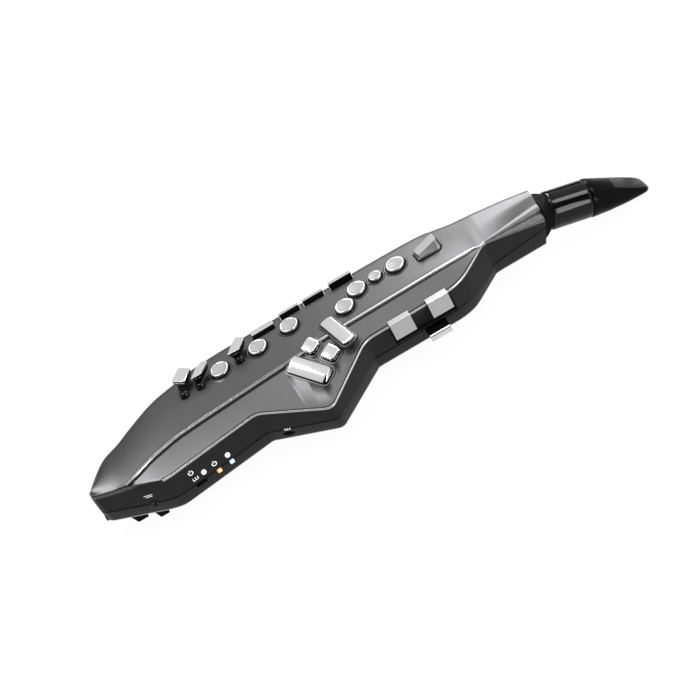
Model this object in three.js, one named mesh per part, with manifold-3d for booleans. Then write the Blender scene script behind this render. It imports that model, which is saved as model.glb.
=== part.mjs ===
// Digital wind controller: a hollow two-part housing with a saxophone layout of keys and a mouthpiece.
// Millimetres, +Z up out of the key panel, +X from the bell end to the mouthpiece.
import * as THREE from 'three';
import { mergeVertices } from 'three/addons/utils/BufferGeometryUtils.js';
import Module from 'manifold-3d';

const wasm = await Module();
wasm.setup();

// Driving sizes of the instrument.
const BODY_LENGTH = 467;
const BODY_WIDTH = 127;
const BODY_DEPTH = 45;
const MOUTH_LENGTH = 110;
const BARREL_RADIUS = 17.8;
const ROUND_KEY_DIAMETER = 18.3;
const SMALL_KEY_DIAMETER = 12.5;
const TABLE_KEY_WIDTH = 13;
const SIDE_KEY_LENGTH = 23;
const PALM_KEY_LENGTH = 20.3;
const LEVER_CAP_WIDTH = 12;
const CELL_DIAMETER = 14.2;
const FOOT_HEIGHT = 12;

// Wall, clearance and travel follow the depth of the housing.
const WALL = BODY_DEPTH * 0.058;
const PANEL_THICKNESS = BODY_DEPTH * 0.11;
const CLEARANCE = BODY_DEPTH * 0.0072;
const KEY_TRAVEL = BODY_DEPTH * 0.045;
const WELL_DEPTH = BODY_DEPTH * 0.055;
const TILT_SLOPE = 0.27;
const MOUTH_TILT = THREE.MathUtils.degToRad(15);

// Outlines: shares of the body's length, width and depth, from the bell end, the waist corner and the back.
const NEAR_EDGE_SHARES = [
  [0, 0.315, 0.93], [0.008, 0.28, 0.93], [0.143, 0.118, 0.867], [0.343, 0.233, 0.875],
  [0.472, 0, 0.62], [0.585, 0.343, 0.822], [0.79, 0.35, 0.85], [0.869, 0.539, 0.985], [1.03, 0.52, 0.92],
];
const FAR_EDGE_SHARES = [
  [0, 0.346], [0.012, 0.45], [0.043, 0.6], [0.081, 0.677], [0.113, 0.756], [0.169, 0.87], [0.23, 0.925],
  [0.31, 0.969], [0.6, 0.99], [0.76, 0.984], [0.805, 0.949], [0.842, 0.909], [0.9, 0.874], [1.03, 0.803],
];
const RIDGE_SHARES = [
  [0, 0.32], [0.064, 0.208], [0.133, 0.332], [0.19, 0.394], [0.25, 0.42], [0.443, 0.486], [0.512, 0.518],
  [0.567, 0.526], [0.869, 0.556], [1.03, 0.55],
];
const STEP_SHARES = [
  [0, 0.002], [0.062, 0.03], [0.15, 0.036], [0.45, 0.034], [0.58, 0.016], [0.869, 0.004], [1.03, 0.004],
];
const SHELF_SHARES = [[0, 1], [0.78, 1], [0.88, 0.98], [1.03, 0.89]];
const CROWN_SHARES = [[0, 1], [0.78, 1], [0.88, 1.04], [0.95, 1.03], [1.03, 0.97]];
const SPLIT_SHARES = [[0, 0.45], [0.1, 0.385], [0.19, 0.35], [0.85, 0.344], [0.878, 0.44], [1.03, 0.68]];
const BACK_SHARES = [[0, 0.17], [0.035, 0.02], [0.06, 0], [0.8, 0], [0.878, 0.11], [1.03, 0.175]];

const along = (share) => share * BODY_LENGTH;
const across = (share) => share * BODY_WIDTH;
const up = (share) => share * BODY_DEPTH;
const CORNER_SOFTENING = along(0.013);
const STATION_STEP = along(0.0075);

// A curve over the body's length: the value at x between the curve's points.
function trackOf(points, pick) {
  return (x) => {
    const next = points.findIndex((point) => point.x >= x);
    if (next <= 0) return pick(points[next === 0 ? 0 : points.length - 1]);
    const [a, b] = [points[next - 1], points[next]];
    return THREE.MathUtils.lerp(pick(a), pick(b), (x - a.x) / (b.x - a.x));
  };
}

// Corners of an outline rounded by short curves that start and end a little before and after each.
function softened(corners, reach) {
  const points = [corners[0]];
  const towards = (corner, other) => corner.clone()
    .lerp(other, Math.min(0.45, reach / corner.distanceTo(other)));
  for (let i = 1; i < corners.length - 1; i += 1) {
    const before = towards(corners[i], corners[i - 1]);
    const after = towards(corners[i], corners[i + 1]);
    points.push(...new THREE.QuadraticBezierCurve3(before, corners[i], after).getPoints(3));
  }
  points.push(corners[corners.length - 1]);
  return points;
}

const nearPoints = softened(
  NEAR_EDGE_SHARES.map(([x, y, z]) => new THREE.Vector3(along(x), across(y), up(z))), CORNER_SOFTENING);
const farPoints = new THREE.SplineCurve(
  FAR_EDGE_SHARES.map(([x, y]) => new THREE.Vector2(along(x), across(y)))).getPoints(28);
const ridgePoints = softened(
  RIDGE_SHARES.map(([x, y]) => new THREE.Vector3(along(x), across(y), 0)), CORNER_SOFTENING);
const heightTrack = (shares) => trackOf(
  shares.map(([x, z]) => new THREE.Vector2(along(x), up(z))), (point) => point.y);

const nearY = trackOf(nearPoints, (point) => point.y);
const nearZ = trackOf(nearPoints, (point) => point.z);
const farY = trackOf(farPoints, (point) => point.y);
const ridgeTrack = trackOf(ridgePoints, (point) => point.y);
const stepDrop = heightTrack(STEP_SHARES);
const shelfZ = heightTrack(SHELF_SHARES);
const crownZ = heightTrack(CROWN_SHARES);
const splitZ = heightTrack(SPLIT_SHARES);
const backZ = heightTrack(BACK_SHARES);

const EDGE_BEVEL = up(0.035);
const FAR_BEVEL = across(0.032);
const NEAR_FLARE = across(0.018);
const LOWER_TAPER = across(0.022);
const ridgeY = (x) => Math.max(ridgeTrack(x), nearY(x) + EDGE_BEVEL * 1.6);
const facetZ = (x, y) => {
  const top = shelfZ(x) - stepDrop(x);
  const share = (ridgeY(x) - y) / (ridgeY(x) - nearY(x));
  return THREE.MathUtils.lerp(top, nearZ(x), share);
};

// One cross-section of the upper shell, from the near split over the top to the far split.
function upperSection(x, wall = 0, top = 0) {
  const near = nearY(x) + wall;
  const ridge = Math.max(ridgeY(x), near + EDGE_BEVEL * 1.3);
  const far = Math.max(farY(x) - wall, ridge + EDGE_BEVEL);
  const drop = Math.max(stepDrop(x), up(0.002));
  const bevelledFar = Math.max(far - FAR_BEVEL, THREE.MathUtils.lerp(ridge, far, 0.7));
  const nearTop = Math.min(nearZ(x), shelfZ(x) - drop) - top;
  return [
    [near - NEAR_FLARE, splitZ(x) - (wall ? up(0.1) : 0)],
    [near, nearTop - EDGE_BEVEL],
    [near + EDGE_BEVEL * 0.3, nearTop - EDGE_BEVEL * 0.3],
    [near + EDGE_BEVEL, nearTop],
    [ridge - drop * 0.4 - EDGE_BEVEL * 0.1, shelfZ(x) - drop - top],
    [ridge, shelfZ(x) - top],
    [THREE.MathUtils.lerp(ridge, bevelledFar, 0.38), shelfZ(x) - top],
    [THREE.MathUtils.lerp(ridge, bevelledFar, 0.56), crownZ(x) - top],
    [bevelledFar, crownZ(x) - top],
    [THREE.MathUtils.lerp(bevelledFar, far, 0.7), crownZ(x) - top - EDGE_BEVEL * 0.7],
    [far, crownZ(x) - top - EDGE_BEVEL * 2],
    [far, splitZ(x) - (wall ? up(0.1) : 0)],
  ];
}

// One cross-section of the lower shell, from the near split under the back to the far split.
function lowerSection(x, wall = 0) {
  const near = nearY(x) - NEAR_FLARE + wall;
  const far = Math.max(farY(x) - wall, near + EDGE_BEVEL * 3);
  const span = far - near;
  const top = splitZ(x) - CLEARANCE + (wall ? up(0.1) : 0);
  const bottom = backZ(x) + wall;
  const taper = Math.min(LOWER_TAPER, span * 0.15);
  const bevel = Math.min(EDGE_BEVEL, span * 0.1);
  return [
    [near, top],
    [near + taper * 0.7, bottom + bevel],
    [near + taper + bevel, bottom],
    [far - taper * 2 - bevel, bottom],
    [far - taper, bottom + bevel * 2],
    [far, top],
  ];
}

// A closed body through cross-sections of equal point counts, with flat ends.
function loft(sections) {
  const count = sections[0].length;
  const positions = sections.flat().flatMap((point) => [point.x, point.y, point.z]);
  const index = [];
  for (let ring = 0; ring < sections.length - 1; ring += 1) {
    for (let k = 0; k < count; k += 1) {
      const a = ring * count + k;
      const b = ring * count + ((k + 1) % count);
      index.push(a, b, a + count, b, b + count, a + count);
    }
  }
  const flat = (section) => section.map((point) => new THREE.Vector2(point.y, point.z));
  const capOf = (section) => {
    const triangles = THREE.ShapeUtils.triangulateShape(flat(section), []);
    return THREE.ShapeUtils.isClockWise(flat(section)) ? triangles.map(([a, b, c]) => [a, c, b]) : triangles;
  };
  const last = (sections.length - 1) * count;
  capOf(sections[0]).forEach(([a, b, c]) => index.push(a, c, b));
  capOf(sections[sections.length - 1]).forEach(([a, b, c]) => index.push(last + a, last + b, last + c));
  const geometry = new THREE.BufferGeometry();
  geometry.setAttribute('position', new THREE.Float32BufferAttribute(positions, 3));
  geometry.setIndex(index);
  return geometry;
}

function signedVolume(geometry) {
  const position = geometry.attributes.position;
  const index = geometry.index;
  const [a, b, c] = [new THREE.Vector3(), new THREE.Vector3(), new THREE.Vector3()];
  let volume = 0;
  for (let i = 0; i < index.count; i += 3) {
    a.fromBufferAttribute(position, index.getX(i));
    b.fromBufferAttribute(position, index.getX(i + 1));
    c.fromBufferAttribute(position, index.getX(i + 2));
    volume += a.dot(b.cross(c));
  }
  return volume;
}

// The merged, outward-facing form of a geometry, as the boolean library takes it.
function solid(geometry) {
  const bare = new THREE.BufferGeometry();
  bare.setAttribute('position', geometry.attributes.position.clone());
  bare.setIndex(geometry.index);
  const merged = mergeVertices(bare, up(0.000002));
  const triangles = Uint32Array.from(merged.index.array);
  if (signedVolume(merged) < 0) {
    for (let i = 0; i < triangles.length; i += 3) {
      [triangles[i + 1], triangles[i + 2]] = [triangles[i + 2], triangles[i + 1]];
    }
  }
  return new wasm.Manifold(new wasm.Mesh({
    numProp: 3,
    vertProperties: Float32Array.from(merged.attributes.position.array),
    triVerts: triangles,
  }));
}

function geometryOf(body) {
  const mesh = body.getMesh();
  const geometry = new THREE.BufferGeometry();
  geometry.setAttribute('position', new THREE.BufferAttribute(mesh.vertProperties, 3));
  geometry.setIndex(new THREE.BufferAttribute(mesh.triVerts, 1));
  return geometry;
}

const moved = (geometry, x, y, z) => geometry.clone().translate(x, y, z);
const placed = (geometry, seat) => geometry.clone().applyMatrix4(seat);
const joined = (...geometries) => geometryOf(geometries.map(solid).reduce((whole, body) => whole.add(body)));
const cut = (geometry, ...tools) => geometryOf(
  tools.map(solid).reduce((whole, tool) => whole.subtract(tool), solid(geometry)));
const block = (x0, x1, y0, y1, z0, z1) => moved(
  new THREE.BoxGeometry(x1 - x0, y1 - y0, z1 - z0), (x0 + x1) / 2, (y0 + y1) / 2, (z0 + z1) / 2);

// An upright post or hole, and a pin along X.
const post = (radius, z0, z1, sides = 28) => new THREE.CylinderGeometry(radius, radius, z1 - z0, sides)
  .rotateX(Math.PI / 2).translate(0, 0, (z0 + z1) / 2);
const pinAlongX = (radius, x0, x1, sides = 12) => new THREE.CylinderGeometry(radius, radius, x1 - x0, sides)
  .rotateZ(Math.PI / 2).translate((x0 + x1) / 2, 0, 0);

// A turned form about Z from [radius, height] points.
const turned = (points, sides = 32) => new THREE.LatheGeometry(
  points.map(([radius, height]) => new THREE.Vector2(radius, height)), sides).rotateX(Math.PI / 2);
const aboutX = (geometry) => geometry.clone().rotateY(Math.PI / 2);

function roundedOutline(width, height, radius) {
  const [w, h] = [width / 2, height / 2];
  const shape = new THREE.Shape();
  shape.moveTo(-w + radius, -h);
  shape.lineTo(w - radius, -h);
  shape.absarc(w - radius, -h + radius, radius, -Math.PI / 2, 0);
  shape.lineTo(w, h - radius);
  shape.absarc(w - radius, h - radius, radius, 0, Math.PI / 2);
  shape.lineTo(-w + radius, h);
  shape.absarc(-w + radius, h - radius, radius, Math.PI / 2, Math.PI);
  shape.lineTo(-w, -h + radius);
  shape.absarc(-w + radius, -h + radius, radius, Math.PI, Math.PI * 1.5);
  return shape;
}
const slab = (shape, z0, z1, curveSegments = 4) => new THREE.ExtrudeGeometry(
  shape, { depth: z1 - z0, bevelEnabled: false, curveSegments }).translate(0, 0, z0);

// A profile in the Y-Z plane run along X.
const runAlongX = (points, length) => new THREE.ExtrudeGeometry(
  new THREE.Shape(points.map(([y, z]) => new THREE.Vector2(y, z))), { depth: length, bevelEnabled: false })
  .applyMatrix4(new THREE.Matrix4().makeBasis(
    new THREE.Vector3(0, 1, 0), new THREE.Vector3(0, 0, 1), new THREE.Vector3(1, 0, 0)))
  .translate(-length / 2, 0, 0);

const finish = (color, roughness, metalness) => new THREE.MeshStandardMaterial(
  { color, roughness, metalness });
const FINISHES = {
  graphite: [0x5c5e60, 0.42, 0.55],
  backShell: [0x3a3b3d, 0.55, 0.2],
  gloss: [0x0b0b0c, 0.12, 0],
  pearl: [0xd9dadc, 0.25, 0.35],
  chrome: [0xd4d5d6, 0.08, 1],
  rubber: [0x18191a, 0.85, 0],
  board: [0x1f5a3a, 0.6, 0.1],
  amber: [0xf2a44b, 0.3, 0],
  blue: [0xbcd2f4, 0.3, 0],
  steel: [0xb9bbbd, 0.3, 0.9],
  cell: [0x8f9296, 0.4, 0.4],
};
const instrument = new THREE.Group();
function piece(name, geometry, look, parent = instrument, seat = new THREE.Matrix4()) {
  const mesh = new THREE.Mesh(geometry, finish(...FINISHES[look]));
  mesh.name = name;
  mesh.applyMatrix4(seat);
  parent.add(mesh);
  return mesh;
}

// Seats of the keys: each is the frame of one key, with the panel's surface at its zero height.
const onPanel = (xShare, yShare) => new THREE.Matrix4().makeTranslation(along(xShare), across(yShare), up(1));
const FACET_TILT = Math.atan(TILT_SLOPE);
function onFacet(xShare, yShare, turn) {
  const [x, y] = [along(xShare), across(yShare)];
  return new THREE.Matrix4().makeTranslation(x, y, facetZ(x, y))
    .multiply(new THREE.Matrix4().makeRotationX(FACET_TILT))
    .multiply(new THREE.Matrix4().makeRotationZ(THREE.MathUtils.degToRad(turn)));
}
const turnedOnPanel = (xShare, yShare, turn) => onPanel(xShare, yShare)
  .multiply(new THREE.Matrix4().makeRotationZ(THREE.MathUtils.degToRad(turn)));

const FLOOR_BOTTOM = -PANEL_THICKNESS - up(0.012);
const STOP_TOP = FLOOR_BOTTOM - CLEARANCE;
const STOP_BOTTOM = STOP_TOP - up(0.024);
const STOP_REACH = STOP_BOTTOM - KEY_TRAVEL - CLEARANCE;
const WELL_GAP = up(0.02);

// A round pad: dished cap on a stem that is kept by a stop under the panel.
const KEY_RISE = up(0.084);
function roundKeyForm(diameter) {
  const r = diameter / 2;
  const stem = r * 0.42;
  return turned([
    [0, STOP_BOTTOM], [stem * 1.28, STOP_BOTTOM], [stem * 1.28, STOP_TOP], [stem, STOP_TOP], [stem, 0],
    [r, 0], [r, KEY_RISE * 0.6], [r * 0.93, KEY_RISE], [r * 0.8, KEY_RISE],
    [r * 0.5, KEY_RISE * 0.82], [0, KEY_RISE * 0.74],
  ], 22);
}
function roundWell(diameter) {
  const r = diameter / 2;
  const stem = r * 0.42;
  return [
    post(r + WELL_GAP, -WELL_DEPTH, up(0.3), 28),
    post(stem + CLEARANCE, FLOOR_BOTTOM, 0, 14),
    post(stem * 1.28 + CLEARANCE, STOP_REACH, FLOOR_BOTTOM, 14),
  ];
}
const ROUND_KEYS = [
  ['round_key_1', 0.7085, 0.797, ROUND_KEY_DIAMETER],
  ['round_key_2_small', 0.6642, 0.796, SMALL_KEY_DIAMETER],
  ['round_key_3', 0.621, 0.779, ROUND_KEY_DIAMETER],
  ['round_key_4', 0.5846, 0.679, ROUND_KEY_DIAMETER],
  ['round_key_5', 0.4745, 0.802, ROUND_KEY_DIAMETER],
  ['round_key_6', 0.4021, 0.767, ROUND_KEY_DIAMETER],
  ['round_key_7', 0.318, 0.762, ROUND_KEY_DIAMETER],
];

// A bar pad: bevelled cap with rounded corners on a square stem with the same kind of stop.
function barKeyForm(width, length, rise, bevel, lean) {
  const outline = roundedOutline(width, length, width * 0.2);
  const cap = slab(outline, 0, rise);
  const position = cap.attributes.position;
  for (let i = 0; i < position.count; i += 1) {
    if (position.getZ(i) > rise / 2) {
      position.setX(i, position.getX(i) * (1 - (2 * bevel) / width) + lean);
      position.setY(i, position.getY(i) * (1 - (2 * bevel) / length));
    }
  }
  const stem = width * 0.24;
  return joined(
    cap,
    block(-stem, stem, -stem, stem, STOP_BOTTOM, rise * 0.3),
    block(-stem * 1.35, stem * 1.35, -stem * 1.35, stem * 1.35, STOP_BOTTOM, STOP_TOP));
}
const stemHoles = (stem) => [
  block(-stem - CLEARANCE, stem + CLEARANCE, -stem - CLEARANCE, stem + CLEARANCE, FLOOR_BOTTOM, 0),
  block(-stem * 1.35 - CLEARANCE, stem * 1.35 + CLEARANCE, -stem * 1.35 - CLEARANCE, stem * 1.35 + CLEARANCE,
    STOP_REACH, FLOOR_BOTTOM),
];
function barWell(width, length) {
  const outline = roundedOutline(width + WELL_GAP * 2, length + WELL_GAP * 2, width * 0.2 + WELL_GAP);
  return [slab(outline, -WELL_DEPTH, up(0.4)), ...stemHoles(width * 0.24)];
}
// Sizes, bevels and leans of the table keys are shares of the table key width, rises are shares of the depth.
const LONG_KEY_SHARE = 3.1;
const TABLE_KEYS = [
  {
    name: 'table_key_long_upper', seat: turnedOnPanel(0.5496, 0.4954, 14),
    size: [0.92, LONG_KEY_SHARE], rise: 0.085, bevel: 0.06, lean: 0,
  },
  {
    name: 'table_key_square_1', seat: onFacet(0.4917, 0.5058, 33),
    size: [1, 1.02], rise: 0.1, bevel: 0.07, lean: 0,
  },
  {
    name: 'table_key_square_2', seat: onFacet(0.5187, 0.38, 33),
    size: [1.02, 1.06], rise: 0.1, bevel: 0.07, lean: 0,
  },
  {
    name: 'table_key_long_lower', seat: onFacet(0.4688, 0.3426, 38),
    size: [1.22, LONG_KEY_SHARE], rise: 0.12, bevel: 0.13, lean: 0.09,
  },
];

// The thumb-side wedge: a sloping faceted touch beside the neck.
const WEDGE_LENGTH = along(0.054);
const WEDGE_BASE_SHARES = [
  [-0.44, -0.32], [0.4, -0.34], [0.49, -0.19], [0.46, 0.3], [0.36, 0.33], [-0.49, 0.12],
];
const WEDGE_TOP_SHARES = [
  [-0.385, -0.28], [0.39, -0.105], [0.455, 0], [0.41, 0.28], [0.33, 0.29], [-0.45, 0.085],
];
function wedgeKeyForm() {
  const length = WEDGE_LENGTH;
  const rise = up(0.19);
  const base = WEDGE_BASE_SHARES;
  const top = WEDGE_TOP_SHARES;
  const ring = (outline, height) => outline.map(
    ([u, v]) => new THREE.Vector3(height(u), u * length, v * length));
  const lift = (u) => rise * (0.82 + 0.4 * u);
  const wedge = loft([ring(base, () => 0), ring(base, () => rise * 0.24), ring(top, lift)])
    .applyMatrix4(new THREE.Matrix4().makeBasis(
      new THREE.Vector3(0, 0, 1), new THREE.Vector3(1, 0, 0), new THREE.Vector3(0, 1, 0)));
  const stem = length * 0.1;
  return joined(
    wedge,
    block(-stem, stem, -stem, stem, STOP_BOTTOM, rise * 0.1),
    block(-stem * 1.35, stem * 1.35, -stem * 1.35, stem * 1.35, STOP_BOTTOM, STOP_TOP));
}
function wedgeWell() {
  const outline = WEDGE_BASE_SHARES.map(([u, v]) => new THREE.Vector2(
    u * (WEDGE_LENGTH + WELL_GAP * 3), v * (WEDGE_LENGTH + WELL_GAP * 4)));
  return [
    slab(new THREE.Shape(outline), -WELL_DEPTH, up(0.4)),
    ...stemHoles(WEDGE_LENGTH * 0.1),
  ];
}
const wedgeSeat = onPanel(0.775, 0.778);

// Keys that wrap an edge: a top strip and an outer face, hinged on a pin inside a pocket of the upper shell.
// In a seat's frame X runs along the edge, Y points out of the body and zero is the edge line.
const FLAP_THICKNESS = up(0.036);
const HINGE_RADIUS = up(0.05);
const PIN_RADIUS = up(0.024);
const PIN_REACH = up(0.03);
const flapHinge = ({ inner, hingeZ }) => [inner + HINGE_RADIUS * 0.8, hingeZ];
function flapKeyForm(length, flap) {
  const { inner, crest, rise, shoulder, outer, drop, slant, hingeZ } = flap;
  const t = FLAP_THICKNESS;
  const web = inner + HINGE_RADIUS * 1.6;
  const profile = [
    [inner, hingeZ], [inner, rise], [crest, rise], [outer, shoulder],
    [outer + slant, -drop], [outer + slant - t, -drop], [outer - t, shoulder - t * 0.6],
    [crest - t * 0.4, rise - t], [web, rise - t], [web, hingeZ],
  ];
  const [hingeY] = flapHinge(flap);
  return joined(
    runAlongX(profile, length),
    moved(pinAlongX(HINGE_RADIUS, -length / 2, length / 2), 0, hingeY, hingeZ),
    moved(pinAlongX(PIN_RADIUS, -length / 2 - PIN_REACH, length / 2 + PIN_REACH), 0, hingeY, hingeZ));
}
const flapFloor = ({ hingeZ }) => hingeZ - HINGE_RADIUS - CLEARANCE;
function flapPocket(length, flap) {
  const half = length / 2 + CLEARANCE;
  return [
    block(-half, half, flap.inner - KEY_TRAVEL * 0.6, up(1), flapFloor(flap), up(1)),
    moved(pinAlongX(PIN_RADIUS + CLEARANCE, -half - PIN_REACH, half + PIN_REACH), 0, ...flapHinge(flap)),
  ];
}
function flapLining(length, flap) {
  const half = length / 2 + PIN_REACH + WALL;
  return block(-half, half, flap.inner - KEY_TRAVEL - WALL, up(0.2), flapFloor(flap) - WALL, up(0.2));
}
const SIDE_FLAP = {
  inner: -up(0.19), crest: -up(0.087), rise: up(0.087), shoulder: -up(0.04), outer: up(0.049),
  drop: up(0.21), slant: 0, hingeZ: -up(0.13),
};
const HIGH_SIDE_FLAP = {
  ...SIDE_FLAP, crest: -up(0.08), rise: up(0.12), shoulder: -up(0.01), outer: up(0.06),
};
const LOW_SIDE_FLAP = {
  ...SIDE_FLAP, inner: -up(0.3), crest: -up(0.13), rise: up(0.074), shoulder: -up(0.095),
};
const PALM_FLAP = {
  inner: -up(0.07), crest: up(0.098), rise: up(0.09), shoulder: up(0.072), outer: up(0.12),
  drop: up(0.3), slant: up(0.02), hingeZ: -up(0.1),
};
const edgeTurn = (track, x, reach) => Math.atan2(track(x + reach) - track(x - reach), 2 * reach);
function farSeat(xShare) {
  const x = along(xShare);
  return new THREE.Matrix4().makeTranslation(x, farY(x), crownZ(x))
    .multiply(new THREE.Matrix4().makeRotationZ(edgeTurn(farY, x, SIDE_KEY_LENGTH / 2)));
}
function nearSeat(xShare) {
  const x = along(xShare);
  return new THREE.Matrix4().makeTranslation(x, nearY(x), nearZ(x))
    .multiply(new THREE.Matrix4().makeRotationZ(Math.PI + edgeTurn(nearY, x, PALM_KEY_LENGTH / 2)));
}
const FLAP_KEYS = [
  { name: 'side_key_1', seat: farSeat(0.603), length: SIDE_KEY_LENGTH, flap: HIGH_SIDE_FLAP },
  { name: 'side_key_2', seat: farSeat(0.541), length: SIDE_KEY_LENGTH * 0.92, flap: SIDE_FLAP },
  { name: 'side_key_3', seat: farSeat(0.4875), length: SIDE_KEY_LENGTH * 0.88, flap: SIDE_FLAP },
  { name: 'side_key_4', seat: farSeat(0.425), length: SIDE_KEY_LENGTH * 0.96, flap: LOW_SIDE_FLAP },
  { name: 'palm_key_1', seat: nearSeat(0.659), length: PALM_KEY_LENGTH, flap: PALM_FLAP },
  { name: 'palm_key_2', seat: nearSeat(0.7395), length: PALM_KEY_LENGTH, flap: PALM_FLAP },
];

// A shallow recess in the near wall behind the palm keys' faces, with a lining that closes it.
const PALM_RECESS = { top: -up(0.1), bottom: -up(0.46), depth: up(0.055), half: along(0.066) };
const palmRecessSeat = nearSeat(0.7);
const palmRecess = () => block(
  -PALM_RECESS.half, PALM_RECESS.half, -PALM_RECESS.depth, up(1), PALM_RECESS.bottom, PALM_RECESS.top);
const palmRecessLining = () => block(
  -PALM_RECESS.half - WALL, PALM_RECESS.half + WALL, -PALM_RECESS.depth - WALL, up(1),
  PALM_RECESS.bottom - WALL, PALM_RECESS.top + WALL);

// The low palm key: a plate hung from a stem that turns in a pocket of the lower shell.
const LOW_PALM = {
  stem: up(0.24), plateTop: -up(0.03), plateBottom: -up(0.2), hingeY: -up(0.1), hingeZ: -up(0.085),
};
function lowPalmForm() {
  const { stem, plateTop, plateBottom, hingeY, hingeZ } = LOW_PALM;
  const half = up(0.045);
  const reach = PALM_KEY_LENGTH / 2;
  return joined(
    runAlongX([
      [hingeY, hingeZ + half], [stem - FLAP_THICKNESS, plateTop], [stem, plateTop - FLAP_THICKNESS * 0.4],
      [stem + FLAP_THICKNESS, plateBottom], [stem, plateBottom],
      [stem - FLAP_THICKNESS * 1.2, plateTop - half * 1.6], [hingeY, hingeZ - half]], PALM_KEY_LENGTH),
    moved(pinAlongX(HINGE_RADIUS, -reach, reach), 0, hingeY, hingeZ),
    moved(pinAlongX(PIN_RADIUS, -reach - PIN_REACH, reach + PIN_REACH), 0, hingeY, hingeZ));
}
const lowPalmX = along(0.716);
const lowPalmSeat = new THREE.Matrix4()
  .makeTranslation(lowPalmX, nearY(lowPalmX) - NEAR_FLARE, splitZ(lowPalmX))
  .multiply(new THREE.Matrix4().makeRotationZ(Math.PI));
function lowPalmPocket() {
  const half = PALM_KEY_LENGTH / 2 + CLEARANCE;
  const { hingeY, hingeZ } = LOW_PALM;
  return [
    block(-half, half, hingeY - HINGE_RADIUS - CLEARANCE, up(1), hingeZ - HINGE_RADIUS - CLEARANCE, 0),
    moved(pinAlongX(PIN_RADIUS + CLEARANCE, -half - PIN_REACH, half + PIN_REACH), 0, hingeY, hingeZ),
  ];
}
const lowPalmLining = () => block(
  -PALM_KEY_LENGTH / 2 - PIN_REACH - WALL * 1.5, PALM_KEY_LENGTH / 2 + PIN_REACH + WALL * 1.5,
  LOW_PALM.hingeY - HINGE_RADIUS - CLEARANCE - WALL, up(0.02),
  LOW_PALM.hingeZ - HINGE_RADIUS - CLEARANCE - WALL, -CLEARANCE);

// Lever keys: a chrome cap on an arm that turns on a hub in a pocket of the panel.
const HUB_RADIUS = up(0.062);
const HUB_LENGTH = LEVER_CAP_WIDTH * 0.6;
const CAP_TOP = up(0.27);
const CAP_THICKNESS = up(0.062);
function leverKeyForm({ cap }) {
  const outline = cap.map(([u, v]) => new THREE.Vector2(u * LEVER_CAP_WIDTH, v * LEVER_CAP_WIDTH));
  const plate = slab(new THREE.Shape(outline), CAP_TOP - CAP_THICKNESS, CAP_TOP);
  const middle = outline.reduce((sum, point) => sum.add(point), new THREE.Vector2())
    .divideScalar(outline.length);
  const half = HUB_LENGTH * 0.36;
  const foot = [[-half, -half], [half, -half], [half, half], [-half, half]];
  const ring = (x, y, z) => foot.map(([u, v]) => new THREE.Vector3(z, x + u, y + v));
  const seatZ = CAP_TOP - CAP_THICKNESS / 2;
  const arm = loft([ring(0, 0, 0), ring(0, half * 0.4, up(0.07)), ring(middle.x, middle.y, seatZ)])
    .applyMatrix4(new THREE.Matrix4().makeBasis(
      new THREE.Vector3(0, 0, 1), new THREE.Vector3(1, 0, 0), new THREE.Vector3(0, 1, 0)));
  return joined(
    plate,
    arm,
    pinAlongX(HUB_RADIUS, -HUB_LENGTH / 2, HUB_LENGTH / 2),
    pinAlongX(PIN_RADIUS, -HUB_LENGTH / 2 - PIN_REACH, HUB_LENGTH / 2 + PIN_REACH));
}
function hubPocket() {
  const half = HUB_LENGTH / 2 + CLEARANCE;
  return [
    block(
      -half, half, -HUB_RADIUS - KEY_TRAVEL * 0.6, HUB_RADIUS + KEY_TRAVEL, -HUB_RADIUS - CLEARANCE, up(0.5)),
    pinAlongX(PIN_RADIUS + CLEARANCE, -half - PIN_REACH, half + PIN_REACH),
  ];
}
const hubLining = () => block(
  -HUB_LENGTH / 2 - PIN_REACH - WALL, HUB_LENGTH / 2 + PIN_REACH + WALL,
  -HUB_RADIUS - WALL * 1.5, HUB_RADIUS + WALL * 1.5, -HUB_RADIUS - CLEARANCE - WALL, up(0.02));
const HUB_DEPTH = up(0.035);
const leverSeat = (xShare, yShare) => onPanel(xShare, yShare)
  .multiply(new THREE.Matrix4().makeTranslation(0, 0, -HUB_DEPTH));
const LEVER_KEYS = [
  {
    name: 'lever_key_1', seat: leverSeat(0.361, 0.755),
    cap: [[-0.62, 0.2], [0.28, 0.1], [1.1, 1.06], [0.52, 1.58], [-0.16, 0.9]],
  },
  {
    name: 'lever_key_2', seat: leverSeat(0.272, 0.722),
    cap: [[-0.42, 0.22], [0.44, 0.2], [1.3, 1.14], [1.03, 1.48], [0.27, 1.12]],
  },
  {
    name: 'lever_key_3', seat: leverSeat(0.237, 0.722),
    cap: [[-0.42, 1.13], [0.46, 0.4], [1.3, 1.44], [0.48, 2.18]],
  },
];

const keySeats = [
  ...ROUND_KEYS.map(([, x, y, diameter]) => ({ seat: onPanel(x, y), tools: roundWell(diameter) })),
  ...TABLE_KEYS.map(({ seat, size }) => (
    { seat, tools: barWell(size[0] * TABLE_KEY_WIDTH, size[1] * TABLE_KEY_WIDTH) })),
  { seat: wedgeSeat, tools: wedgeWell() },
  ...FLAP_KEYS.map(({ seat, length, flap }) => ({ seat, tools: flapPocket(length, flap) })),
  ...LEVER_KEYS.map(({ seat }) => ({ seat, tools: hubPocket() })),
  { seat: palmRecessSeat, tools: [palmRecess()] },
];

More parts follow.
